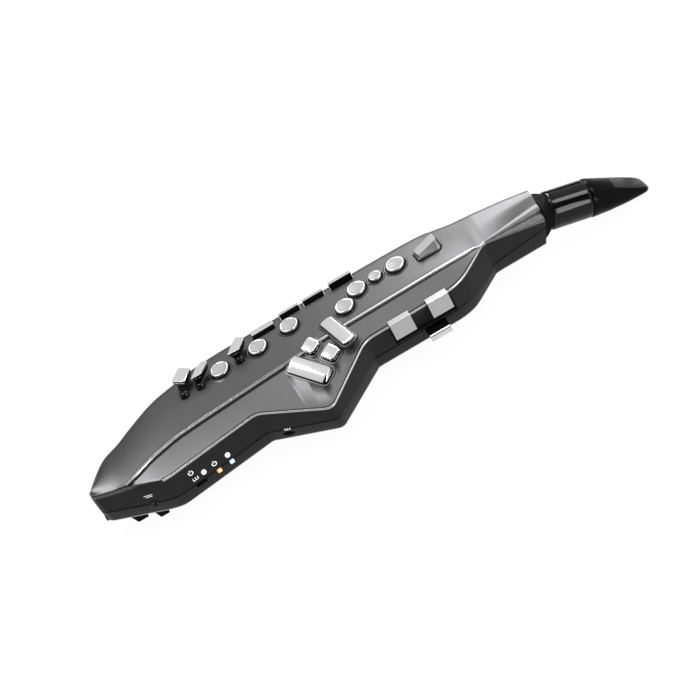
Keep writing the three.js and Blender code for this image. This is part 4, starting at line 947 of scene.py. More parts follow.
@dataclass
class FlapKey(Key):
    """A key that wraps an edge of the housing and turns on a pin."""

    length: float = SIDE_LENGTH
    inner: float = -up(0.19)
    crest: float = -up(0.087)
    rise: float = up(0.087)
    shoulder: float = -up(0.04)
    outer: float = up(0.049)
    drop: float = up(0.21)
    slant: float = 0.0
    hinge_z: float = -up(0.13)
    bend: float = 1.0
    margin: float = 1.9
    face: Finish = CHROME
    teeth: int = 4

    @property
    def hinge_y(self) -> float:
        """Place of the hinge across the flap."""
        return self.inner + HINGE_RADIUS * 0.8

    @property
    def floor(self) -> float:
        """Bottom of the pocket."""
        return self.hinge_z - HINGE_RADIUS - CLEARANCE

    def cuts(self) -> list[Form]:
        """The pocket and the pin's hole."""
        half = self.length / 2 + CLEARANCE
        return [block(-half, half, self.inner - TRAVEL * 0.6, up(1), self.floor, up(1)),
                hinge_pin(half, self.hinge_y, self.hinge_z, CLEARANCE)]

    def linings(self) -> list[Form]:
        """Solid round the pocket."""
        half = self.length / 2 + PIN_REACH + WALL
        return [block(-half, half, self.inner - TRAVEL - WALL, up(0.2), self.floor - WALL, up(0.2))]

    def build(self) -> None:
        """Makes the bright flap, and its black web with the hub and pin."""
        t, half = FLAP_THICKNESS, self.length / 2
        web, edge = self.inner + HINGE_RADIUS * 1.6, self.inner + self.margin
        profile = [
            (edge, self.rise - t), (edge, self.rise), (self.crest, self.rise), (self.outer, self.shoulder),
            (self.outer + self.slant, -self.drop), (self.outer + self.slant - t, -self.drop),
            (self.outer - t, self.shoulder - t * 0.6), (self.crest - t * 0.4, self.rise - t),
        ]
        flap = run_x(rounded(profile, [0.1, 0.35, self.bend, self.bend, 0.5, 0.5, 1.0, 1.0], 6), self.length)
        made = self.show(flap, CHROME, "", 0.3, 30)
        # Palm keys put a darker copy of the chrome on their outward faces, a painted shade that keeps them
        # darker than the top strip.
        if self.face is not CHROME:
            made.data.materials.append(self.face.material())
            outward = self.seat.to_3x3() @ Vector((0, 1, 0))
            for polygon in made.data.polygons:
                polygon.material_index = int(polygon.normal.dot(outward) > 0.9)
        inset, under = 0.35, self.rise - t + 0.05
        black = run_x([(self.inner + 0.1, self.hinge_z), (self.inner + 0.1, 0.2),
                       (edge - 0.5, self.rise + 0.02),
                       (edge + 0.1, self.rise + 0.02), (edge + 0.1, under), (max(web, edge + 0.2), under),
                       (web, self.hinge_z)], self.length - inset * 2)
        for i in range(self.teeth):
            x = lerp(-half, half, (i + 0.5) / self.teeth)
            black += block(x - half * 0.16, x + half * 0.16, self.inner + 0.02, self.inner + 0.9,
                           self.hinge_z * 0.5, self.rise * 0.4)
        black += pin_x(HINGE_RADIUS, -half, half).moved(0, self.hinge_y, self.hinge_z)
        black += hinge_pin(half, self.hinge_y, self.hinge_z)
        self.show(black, BLACK, "_web", 0.15, 40)


@dataclass
class LeverKey(Key):
    """A chrome cap on a dark arm that turns on a glossy black hub."""

    cap: Sequence[Point] = ()
    top: float = up(0.27)
    thickness: float = up(0.062)
    hub: float = up(0.062)
    half_hub: float = LEVER_WIDTH * 0.3
    boss: float = 4.6
    squash: float = 0.75

    def cuts(self) -> list[Form]:
        """The hub's pocket and the pin's hole."""
        half = self.half_hub + CLEARANCE
        return [block(-half, half, -self.hub - TRAVEL * 0.6, self.hub + TRAVEL, -self.hub - CLEARANCE, up(0.5)),
                hinge_pin(half, gap=CLEARANCE)]

    def linings(self) -> list[Form]:
        """Solid round the pocket."""
        half, reach = self.half_hub + PIN_REACH + WALL, self.hub + WALL * 1.5
        return [block(-half, half, -reach, reach, -self.hub - CLEARANCE - WALL, 0.9)]

    def build(self) -> None:
        """Makes the cap, the arm and the hub."""
        corners = [(u * LEVER_WIDTH, v * LEVER_WIDTH) for u, v in self.cap]
        middle = Vector([sum(axis) for axis in zip(*corners)]) / len(corners)
        outline = rounded(corners, 1.5, 5)
        inset = rounded([(lerp(x, middle.x, 0.06), lerp(y, middle.y, 0.06)) for x, y in corners], 1.3, 5)
        low, high = self.top - self.thickness, self.top
        plate = high - 0.95
        cap = loft([level(inset, plate), level(outline, plate + 0.2), level(outline, high - 0.45),
                    level(inset, high)])
        self.show(cap + self.lip(corners[0], corners[1], plate - 1.6), CHROME, "", 0.12, 25)
        body = [(x - middle.x, y - middle.y) for x, y in outline]
        reach = self.boss * self.squash
        foot = [(reach * math.cos(a), reach * math.sin(a)) for a in (math.atan2(y, x) for x, y in body)]
        arm = [level(foot, 2.4), level([(x, y + 0.5) for x, y in foot], self.boss * 1.3)]
        for size, shift, z in ((0.7, 0.85, low - 4.2), (0.84, 1, low - 3), (0.9, 1, low - 1.6),
                               (0.92, 1, plate - 1.5), (0.97, 1, plate - 1.3), (0.97, 1, plate + 0.1)):
            arm.append(level([(x * size + middle.x * shift, y * size + middle.y * shift) for x, y in body], z))
        self.show(loft(arm), GLOSS, "_arm", 0.25, 40)
        half, rim = self.half_hub, 2.3
        dome = [(self.boss * math.cos(a), rim + 0.5 + reach * math.sin(a)) for a in
                (math.radians(10 * i) for i in range(9))]
        hub = turned([(0, -self.hub), (half * 0.8, -self.hub), (half * 0.8, rim), (self.boss - 0.2, rim), *dome,
                      (0, dome[-1][1])], 48)
        self.show(hub + hinge_pin(half), GLOSS, "_hub", angle=50)

    def lip(self, start: Point, end: Point, low: float) -> Form:
        """The cap's end face, bent down along the edge between two corners.

        Args:
            start: the first corner.
            end: the second corner.
            low: height of its upper side.

        Returns:
            The lip.
        """
        a, b = Vector((*start, 0)), Vector((*end, 0))
        run = (b - a).normalized()
        inward = Vector((-run.y, run.x, 0))
        profile = [(0.3, 0), (0.05, -0.2), (0.05, -1.5), (0.4, -1.9), (1.6, -1.9), (1.6, 0)]
        return loft([[point + inward * y + Vector((0, 0, low + z)) for y, z in profile]
                     for point in (a + run * 0.7, b - run * 0.7)])


@dataclass
class LowPalmKey(Key):
    """The low palm key: a bright plate hung from a dark stem in the lower shell."""

    half: float = PALM_LENGTH / 2
    stem: float = up(0.24)
    plate_top: float = -up(0.03)
    plate_bottom: float = -up(0.15)
    hinge_y: float = -up(0.1)
    hinge_z: float = -up(0.085)
    half_stem: float = up(0.045)

    def cuts(self) -> list[Form]:
        """The pocket and the pin's hole."""
        half, reach = self.half + CLEARANCE, HINGE_RADIUS + CLEARANCE
        return [block(-half, half, self.hinge_y - reach, up(1), self.hinge_z - reach, 0),
                hinge_pin(half, self.hinge_y, self.hinge_z, CLEARANCE)]

    def linings(self) -> list[Form]:
        """Solid round the pocket."""
        half, depth = self.half + PIN_REACH + WALL * 1.5, HINGE_RADIUS + CLEARANCE + WALL
        return [block(-half, half, self.hinge_y - depth, 0.9, self.hinge_z - depth, -CLEARANCE)]

    def build(self) -> None:
        """Makes the dark mount and the bright plate."""
        grip, t, stem, top = self.half_stem, FLAP_THICKNESS, self.stem, self.plate_top
        y, z = self.hinge_y, self.hinge_z
        mount = rounded([(y, z + grip), (stem - t * 1.1, top - 0.4), (stem - t * 0.7, top - t),
                         (stem - t * 1.3, top - grip * 1.7), (y, z - grip)], 0.25, 3)
        form = run_x(mount, self.half * 2) + pin_x(HINGE_RADIUS, -self.half, self.half).moved(0, y, z)
        self.show(form + hinge_pin(self.half, y, z), BLACK, "_mount", 0.2)
        plate = rounded([(stem - t * 1.2, top), (stem, top - t * 0.4), (stem + t, self.plate_bottom),
                         (stem, self.plate_bottom), (stem - t * 1.2, top - grip * 1.6)],
                         [0.3, 0.9, 0.4, 0.4, 0.3], 5)
        self.show(run_x(plate, self.half * 2), CHROME, "", 0.25)


def panel_keys() -> list[Key]:
    """All keys of the front shell.

    Returns:
        The keys in the order in which they are made.
    """
    rounds = ((1, 0.7085, 0.797), (3, 0.621, 0.779), (4, 0.5846, 0.679), (5, 0.4745, 0.802),
              (6, 0.4021, 0.767), (7, 0.318, 0.762))
    keys: list[Key] = [RoundKey(f"round_key_{i}", on_panel(x, y)) for i, x, y in rounds]
    keys.append(RoundKey("round_key_2_small", on_panel(0.6642, 0.796), SMALL_KEY_DIAMETER))
    w = TABLE_WIDTH
    keys += [
        BarKey("table_key_long_upper", on_panel(0.5496, 0.4954, 14), w * 0.92, w * 3.1, up(0.085), w * 0.06),
        BarKey("table_key_square_1", on_facet(0.4917, 0.5058, 33), w, w * 1.02, up(0.1), w * 0.07),
        BarKey("table_key_square_2", on_facet(0.5187, 0.38, 33), w * 1.02, w * 1.06, up(0.1), w * 0.07),
        BarKey("table_key_long_lower", on_facet(0.4688, 0.3426, 38), w * 1.22, w * 3.1, up(0.12), w * 0.08,
               w * 0.42),
        WedgeKey("wedge_key", on_panel(0.775, 0.778)),
    ]
    high = dict(crest=-up(0.08), rise=up(0.12), shoulder=-up(0.01), outer=up(0.06))
    low = dict(inner=-up(0.3), crest=-up(0.13), rise=up(0.074), shoulder=-up(0.095))
    palm = dict(inner=-up(0.07), crest=up(0.114), rise=up(0.09), shoulder=up(0.084), outer=up(0.12),
                drop=up(0.3),
                slant=up(0.02), hinge_z=-up(0.1), bend=0.1, margin=0.8, face=FACE_SHADE_CHROME)
    keys += [
        FlapKey("side_key_1", far_seat(0.603), SIDE_LENGTH, **high),
        FlapKey("side_key_2", far_seat(0.541), SIDE_LENGTH * 0.92),
        FlapKey("side_key_3", far_seat(0.4875), SIDE_LENGTH * 0.88),
        FlapKey("side_key_4", far_seat(0.425), SIDE_LENGTH * 0.96, **low),
        FlapKey("palm_key_1", near_seat(0.659), PALM_LENGTH, **palm),
        FlapKey("palm_key_2", near_seat(0.7395), PALM_LENGTH, **palm),
    ]
    caps = (
        (1, 0.361, 0.755, ((-0.62, 0.2), (0.28, 0.1), (1.1, 1.06), (0.52, 1.58), (-0.16, 0.9))),
        (2, 0.272, 0.722, ((-0.42, 0.22), (0.44, 0.2), (1.3, 1.14), (1.03, 1.48), (0.27, 1.12))),
        (3, 0.237, 0.722, ((-0.42, 1.13), (0.46, 0.4), (1.3, 1.44), (0.48, 2.18))),
    )
    sunk = Matrix.Translation((0, 0, -up(0.035)))
    keys += [LeverKey(f"lever_key_{i}", on_panel(x, y) @ sunk, cap) for i, x, y, cap in caps]
    return keys


LOW_PALM_X = along(0.716)
LOW_PALM = LowPalmKey("palm_key_3", seat_at(
    LOW_PALM_X, near_y(LOW_PALM_X) - NEAR_FLARE, split_z(LOW_PALM_X), math.pi))


def of_keys(keys: Sequence[Key], forms: Callable[[Key], list[Form]]) -> list[Form]:
    """Forms of all keys, in the housing's frame."""
    return [form.placed(key.seat) for key in keys for form in forms(key)]


NECK_SHOULDERS = (
    (0, -8), (0.3, -6.8), (1.2, -5.8), (2.6, -5.2), (4.2, -4.9), (5.6, -4.4), (6.8, -3.5), (7.8, -2.5),
    (8.8, -1.5),
    (10, -0.8), (11.5, -0.35), (13, -0.1), (15, 0), (17, 0.1),
)


@dataclass
class Housing:
    """The two hollow shells, with every well, pocket and opening cut."""

    keys: Sequence[Key]
    end: float = along(1.03)
    step: float = 3.2
    least_step: float = 0.9
    hollow_rings: int = 60
    crisp: float = 62.0

    def stations(self) -> list[float]:
        """Places along the housing at which its section is taken.

        Returns:
            The places, rising.
        """
        wanted = [p.x for p in [*NEAR_POINTS, *LOW_POINTS, *RIDGE_POINTS]] + [self.step * i for i in range(200)]
        kept = [0.0, 0.8, 1.8, 3.0]
        for x in sorted(wanted):
            if kept[-1] + self.least_step < x < self.end - self.least_step:
                kept.append(x)
        return [*kept, self.end]

    def beads(self, x: float) -> list[Point]:
        """Near bead, facet and the ridge's beads, from the near edge to the flat panel.

        Args:
            x: place along the housing.

        Returns:
            Their corners as (y, z).
        """
        near, ridge, drop, bell = near_y(x), ridge_y(x), max(step_drop(x), 0.05), bell_share(x)
        shelf, height = shelf_z(x) - 1.7 * bell, 1 - bell
        top = min(near_z(x), shelf - drop)
        room = min(1.0, (ridge - near) / 13)
        slope = (shelf - drop - top) / (ridge - near)
        groove = lerp(-0.4, 0.5, smooth(along(0.46), along(0.53), x))
        foot = 2.1 + 0.3 * drop
        flat = 1 - smooth(along(0.115), along(0.15), x)
        from_near = [(0, -0.6 - 2 * flat), (0.3 + 0.7 * flat, 0.3 - 1 * flat),
                     (1.3 + 0.6 * flat, 0.55 - 0.55 * flat),
                     (2.1 + 0.6 * flat, slope * 2.1 - 0.1 + 0.1 * flat), (3.2 + 0.4 * flat, slope * 3.2)]
        from_ridge = [(-foot - 1, -drop - slope * (foot + 1)), (-foot, -drop - 0.6 * height),
                      (-1.3, -0.5 * height),
                      (-1.05, 0.35 * height), (-0.25, 0.45 * height), (0.2, groove * height),
                      (0.65, 0.45 * height),
                      (1.45, 0.35 * height), (2.1, 0)]
        return [*((near + y * room, top + z) for y, z in from_near),
                *((ridge + y * max(room, 0.1), shelf + z) for y, z in from_ridge)]

    def upper_section(self, x: float) -> list[Vector]:
        """Rounded section of the front shell, with beads, grooves and the neck's shoulders.

        Args:
            x: place along the housing.

        Returns:
            The section's points.
        """
        near, ridge = near_y(x), ridge_y(x)
        far = max(far_y(x), ridge + EDGE_BEVEL)
        shelf, crown = shelf_z(x) - 1.7 * bell_share(x), crown_z(x)
        bevelled = max(far - across(0.032), lerp(ridge, far, 0.7))
        grown = min(1.0, max(0.0, (x - along(0.85)) / along(0.14)))
        neck = [(near + y * grown, shelf + z * grown) for y, z in NECK_SHOULDERS]
        t = smooth(along(0.845), along(0.875), x)
        edge = [(lerp(a[0], b[0], t), lerp(a[1], b[1], t)) for a, b in zip(self.beads(x), neck)]
        start = edge[-1][0]
        dome = 1 - smooth(along(0.06), along(0.34), x)
        low = near_low(x) - NEAR_FLARE
        points = [
            (low + 0.8, split_z(x)), (low, split_z(x) + 0.7), *edge,
            (lerp(start, bevelled, 0.16), lerp(shelf, crown, 0.35) + 0.8 * dome),
            (lerp(start, bevelled, 0.38), lerp(shelf, crown, 0.75) + 1.1 * dome),
            (lerp(start, bevelled, 0.56), lerp(shelf, crown, 0.96) + 0.7 * dome),
            (lerp(start, bevelled, 0.8), crown - 0.7 * dome),
            (bevelled, crown - 2.2 * dome), (lerp(bevelled, far, 0.7), crown - EDGE_BEVEL * 0.7 - 2.6 * dome),
            (far, crown - EDGE_BEVEL * 2 - 2.6 * dome), (far, split_z(x)),
        ]
        radii = [0.3, 0.2, *[0.45] * len(edge), 5, 7, 7, 7, 2.6, 1.4, 1.6, 0.3]
        nose = 1 - 0.12 * max(0.0, 1 - x / 5) ** 2
        points[2:-1] = [(y, lerp(split_z(x), z, nose)) for y, z in points[2:-1]]
        return slice_x(rounded(points, radii, 3), x)

    def upper_paint(self, x: float) -> list[int]:
        """Finish that starts at each corner of the front shell's section.

        Args:
            x: place along the housing.

        Returns:
            The places in the shell's list of finishes.
        """
        # Finish 0 is the dark side paint, a painted shade on the walls, the ridge's step, the near bead's inner
        # slope and, at the bell end, the near bead itself; finish 3 is the bead paint, a painted highlight on
        # the near bead, the ridge's beads and, past the middle, the groove between them.
        middle = 3 if x > along(0.5) else 0
        near, inner = (3, 0) if x > along(0.135) else (0, 1)
        if x > along(0.872):
            return [0, 0] + [1] * 20 + [0, 0]
        if x < along(0.06):
            return [0, 0, 0] + [1] * 19 + [0, 0]
        return [0, 0, near, near, inner, inner, 1, 0, 0, 3, 3, middle, middle, 3, 1, 1, 1, 1, 1, 1, 1, 1, 0, 0]

    def lower_paint(self, x: float) -> list[int]:
        """Finish that starts at each corner of the back shell's section; the bead paint along the lower near
        edge is a painted highlight.
        """
        return [0, 0, 3, 0, 0, 0, 0]

    def lower_section(self, x: float) -> list[Vector]:
        """Rounded section of the back shell.

        Args:
            x: place along the housing.

        Returns:
            The section's points.
        """
        near = near_low(x) - NEAR_FLARE
        far = max(far_y(x), near + EDGE_BEVEL * 3)
        top, bottom = split_z(x) - CLEARANCE, back_z(x)
        taper, bevel = min(across(0.022), (far - near) * 0.15), min(EDGE_BEVEL, (far - near) * 0.1)
        rise = max(bevel, up(0.21) * (1 - x / along(0.143)) - bottom)
        points = [
            (near + 0.8, top), (near, top - 0.7), (near + taper * 0.7, bottom + rise),
            (near + taper + rise, bottom),
            (far - taper * 2 - bevel, bottom), (far - taper, bottom + bevel * 2), (far, top),
        ]
        return slice_x(rounded(points, [0.3, 0.2, 1.1, 0.8, 1.5, 1.5, 0.3], 3), x)

    def upper_cavity(self, x: float) -> list[Vector]:
        """Section of the hollow of the front shell.

        Args:
            x: place along the housing.

        Returns:
            The section's points.
        """
        near, far = near_y(x) + WALL, max(far_y(x) - WALL, near_y(x) + WALL + 8)
        ridge = min(max(ridge_y(x), near + 2), far - 2)
        depth = PANEL + 5 * smooth(along(0.84), along(0.88), x)
        low = min(near_z(x), shelf_z(x) - step_drop(x)) - depth - EDGE_BEVEL
        points = [
            (near - NEAR_FLARE, split_z(x) - up(0.1)), (near, max(low, split_z(x) + 1)),
            (ridge, shelf_z(x) - step_drop(x) - depth), (far - 4, shelf_z(x) - PANEL),
            (far, shelf_z(x) - PANEL - EDGE_BEVEL * 2), (far, split_z(x) - up(0.1)),
        ]
        return slice_x(points, x)

    def lower_cavity(self, x: float) -> list[Vector]:
        """Section of the hollow of the back shell."""
        near, far = near_y(x) - NEAR_FLARE + WALL, max(far_y(x) - WALL, near_y(x) + 8)
        top, bottom = split_z(x) + up(0.1), back_z(x) + WALL
        points = [(near, top), (near + 2.5, bottom), (far - 5, bottom), (far - 2, bottom + 2.5), (far, top)]
        return slice_x(points, x)

    def shell(self, name: str, section: Callable[[float], list[Vector]], hollow: Callable[[float],
                                                                                          list[Vector]],
              paint: Callable[[float], list[int]], keys: Sequence[Key], solids: Sequence[Form],
              cuts: Sequence[Form], adds: Sequence[Form], finishes: Sequence[Finish]) -> None:
        """Makes a hollow shell.

        Args:
            name: name of its object.
            section: its outer section at a station.
            hollow: its inner section at a station.
            paint: the place in the finishes for each corner of a section.
            keys: the keys that shape it.
            solids: other forms that stay solid inside it.
            cuts: other forms cut from it.
            adds: other forms joined to its outside first.
            finishes: finishes of the sides (painted shade), the top, what is cut (painted shade) and the beads
                (painted highlight).
        """
        solids = [*of_keys(keys, lambda key: key.linings()), *solids]
        cuts = [*of_keys(keys, lambda key: key.cuts()), *cuts]
        adds = [*of_keys(keys, lambda key: key.adds()), *adds]
        start, length, rings = along(0.03), along(0.94), self.hollow_rings
        inside = loft([hollow(start + length * i / rings) for i in range(rings + 1)])
        cavity = SHOP.form_of(SHOP.carve(inside, "cavity", solids))
        neck = block(0, along(0.2), -across(1), across(1), -up(3), up(3)).placed(MOUTH_SEAT)
        stations = self.stations()
        outer = loft([section(x) for x in stations])
        outer.finishes = [finish for x in stations[:-1] for finish in paint(x) for _ in range(4)] + [0, 0]
        made = SHOP.carve(outer, name, [tool.painted(2) for tool in (neck, cavity, *cuts)], adds, finishes)
        SHOP.dress(made, finishes[0], angle=self.crisp)

    def build(self) -> None:
        """Makes both shells."""
        shared = fittings_openings()
        # The recess between the palm keys is cut, so it takes the near-black well paint: painted shade on that
        # part of the wall.
        half, depth, low, high = along(0.066), up(0.055), -up(0.46), -up(0.1)
        recess, lining = (block(-half - grow, half + grow, -depth - grow, up(1), low - grow, high + grow)
                          .placed(near_seat(0.7)) for grow in (0, WALL))
        self.shell("front_shell", self.upper_section, self.upper_cavity, self.upper_paint, self.keys, [lining],
                   [recess, *shared], [], (SIDE_SHADE_PAINT, PANEL_PAINT, WELL_SHADE_PAINT, BEAD_HIGHLIGHT_PAINT))
        spout = pin_x(SPOUT_RADIUS + CLEARANCE, -WALL * 2, along(0.05), 40).placed(Fittings.SPOUT_SEAT)
        half, height = up(0.12), up(0.045)
        slots = [block(-half, half, -WALL * 2.5, WALL * 3, -height, height).placed(seat)
                 for seat in Fittings.SWITCHES.values()]
        self.shell("back_shell", self.lower_section, self.lower_cavity, self.lower_paint, [LOW_PALM],
                   Back.solids(),
                   [*Back.openings(), *shared, spout, *slots], Back.lugs(),
                   (BACK_SHADE_PAINT, BACK_SHADE_PAINT, WELL_SHADE_PAINT, BEAD_HIGHLIGHT_PAINT))


LAMP_HALF = up(0.044)
SOCKET_RADIUS = up(0.09)
SPOUT_RADIUS = up(0.075)


def fittings_openings() -> list[Form]:
    """Holes that both shells share: the socket, the lamps and the breath tube.

    Returns:
        The forms to cut from each shell.
    """
    lamp = LAMP_HALF + CLEARANCE
    hole = about_y(post(SOCKET_RADIUS + CLEARANCE, -WALL * 3, WALL * 3)).placed(Fittings.JACK_SEAT)
    lamps = [block(-lamp, lamp, -WALL * 2.5, WALL * 2, -lamp, lamp).placed(seat) for _, seat, _,
             _ in Fittings.LAMPS]
    return [hole, *lamps, pin_x(up(0.091) + CLEARANCE, -along(0.06), along(0.1), 32).placed(MOUTH_SEAT)]


class Fittings:
    """Small things on the walls: socket, switches, lamps, prints and the drain spout."""

    JACK_SEAT = wall_seat(0.098, 0.365)
    SWITCHES = {"power_switch": wall_seat(0.192, 0.29), "bite_switch": wall_seat(0.376, 0.2)}
    SPOUT_SEAT = seat_at(0, across(0.33), up(0.24))
    LAMPS = (("power_lamp", wall_seat(0.2315, 0.286), AMBER, AMBER_CORE),
             ("link_lamp", wall_seat(0.2595, 0.286), BLUE, BLUE_CORE))
    INK = 0.1

    def build(self) -> None:
        """Makes every fitting."""
        self.socket()
        for name, seat in self.SWITCHES.items():
            self.slider(name, seat)
        for name, seat, edge, core in self.LAMPS:
            self.lamp(name, seat, edge, core)
        self.spout()
        self.prints()

    def socket(self) -> None:
        """Makes the output socket with its bright contact sleeve."""
        r = SOCKET_RADIUS
        ring = turned_ring([(r * 0.42, -up(0.3)), (r, -up(0.3)), (r, 0.35), (r - 0.3, 0.54), (r * 0.62, 0.54),
                            (r * 0.46, 0.1)], 48)
        SHOP.piece("phones_socket", about_y(ring).placed(self.JACK_SEAT), GLOSS, slot="rubber")
        sleeve = turned_ring([(r * 0.36, -up(0.2)), (r * 0.41, -up(0.2)), (r * 0.41, -0.4),
                              (r * 0.36, -0.4)], 32)
        SHOP.piece("phones_socket_sleeve", about_y(sleeve).placed(self.JACK_SEAT), STEEL, slot="")

    def slider(self, name: str, seat: Matrix) -> None:
        """Makes a slide switch with finger ridges.

        Args:
            name: its name.
            seat: its place on the wall.
        """
        height, slot = up(0.045) - CLEARANCE, up(0.24)
        form = block(-slot * 0.22, slot * 0.22, -WALL * 2.4, WALL * 0.05, -height, height)
        for i in range(5):
            x = slot * 0.09 * (i - 2)
            form += block(x - 0.22, x + 0.22, -WALL, WALL * 0.3, -height * 0.9, height * 0.9)
        SHOP.piece(name, form.placed(seat), RUBBER, name, 0.08)

    def lamp(self, name: str, seat: Matrix, edge: Finish, core: Finish) -> None:
        """Makes a square lamp lens with a lighter middle.

        Args:
            name: its name.
            seat: its place on the wall.
            edge: finish of the lens.
            core: finish of its middle.
        """
        half, face = LAMP_HALF, WALL * 0.06
        SHOP.piece(name, block(-half, half, -WALL * 2.4, face, -half, half).placed(seat), edge, bevel=0.2)
        middle = about_y(prism(box_outline(half * 1.1, half * 1.1, half * 0.3), 0, 0.06)).moved(0, face, 0)
        SHOP.piece(f"{name}_core", middle.placed(seat), core)

    def spout(self) -> None:
        """Makes the drain spout at the bell end."""
        r, bore, end = SPOUT_RADIUS, SPOUT_RADIUS * 0.55, along(0.045)
        ring = turned_ring([(bore, -1.2), (r - 0.3, -1.35), (r, -1.0), (r, end), (bore, end)], 40)
        SHOP.piece("drain_spout", about_x(ring).placed(self.SPOUT_SEAT), RUBBER)

    def mark(self, name: str, form: Form, share: float, z: float) -> None:
        """Makes one flat mark on the near wall above the split.

        Args:
            name: its name.
            form: its shape, lying flat.
            share: its place as a share of the length.
            z: its height as a share of the depth.
        """
        x = along(share)
        height = near_z(x) - split_z(x)
        flare = NEAR_FLARE * min(1.0, max(0.0, (up(z) - split_z(x)) / height))
        seat = wall_seat(share, z) @ seat_at(0, -flare - self.INK * 0.3, 0, math.atan2(NEAR_FLARE, height), "X")
        upright = Matrix.Rotation(-math.pi / 2, 4, "X") @ Matrix.Rotation(math.pi, 4, "Z")
        SHOP.piece(name, form.placed(seat @ upright), PRINT)

    def arc(self, radius: float, width: float, start: float, sweep: float, steps: int = 28) -> Form:
        """A flat open ring, with its angles in degrees."""
        turns = [math.radians(start + sweep * i / steps) for i in range(steps + 1)]
        outer, inner = ([(reach * math.sin(a), reach * math.cos(a)) for a in turns]
                        for reach in (radius + width / 2, radius - width / 2))
        return prism(outer + inner[::-1], 0, self.INK)

    def bar(self, x: float, y: float, w: float, h: float) -> Form:
        """A flat short line about a point."""
        return block(x - w / 2, x + w / 2, y - h / 2, y + h / 2, 0, self.INK)

    def prints(self) -> None:
        """Makes the white marks beside the lamps and switches."""
        power = self.arc(2.05, 0.75, 35, 290) + self.bar(0, 1.9, 0.75, 2.4)
        disc = prism(box_outline(4.4, 5.4, 2.1), 0, self.INK)
        ticks = self.bar(-2.4, 0, 0.7, 2.4)
        for line in ((0, 0, 0.7, 2.4), (2.4, 0, 0.7, 2.4), (0, -1.5, 5.5, 0.5)):
            ticks += self.bar(*line)
        lines = self.bar(0, 0.9, 8, 0.6) + self.bar(0.6, -0.9, 6, 0.6)
        for name, form, x, z in (
            ("mark_power_1", power, 0.186, 0.65), ("mark_power_2", power, 0.2305, 0.504),
            ("mark_disc_1", disc, 0.2063, 0.489), ("mark_disc_2", disc, 0.2592, 0.487),
            ("mark_ticks_power", ticks, 0.1874, 0.48), ("mark_ticks_bite", ticks, 0.3785, 0.36),
            ("mark_socket", lines, 0.0945, 0.6),
        ):
            self.mark(name, form, x, z)


def superellipse(x: float, half: float, top: float, bottom: float, power: float,
                 sides: int = 72) -> list[Vector]:
    """Ring between a circle and a rounded square.

    Args:
        x: its place along X.
        half: half of its width.
        top: its highest Z.
        bottom: its lowest Z.
        power: 2 for a circle, and 4 and more for a rounded square.
        sides: how many points it has.

    Returns:
        The ring's points.
    """
    middle, reach = (top + bottom) / 2, (top - bottom) / 2
    bent = [tuple(math.copysign(abs(v) ** (2 / power), v) for v in point) for point in circle(1, sides)]
    return [Vector((x, half * c, middle + reach * s)) for c, s in bent]


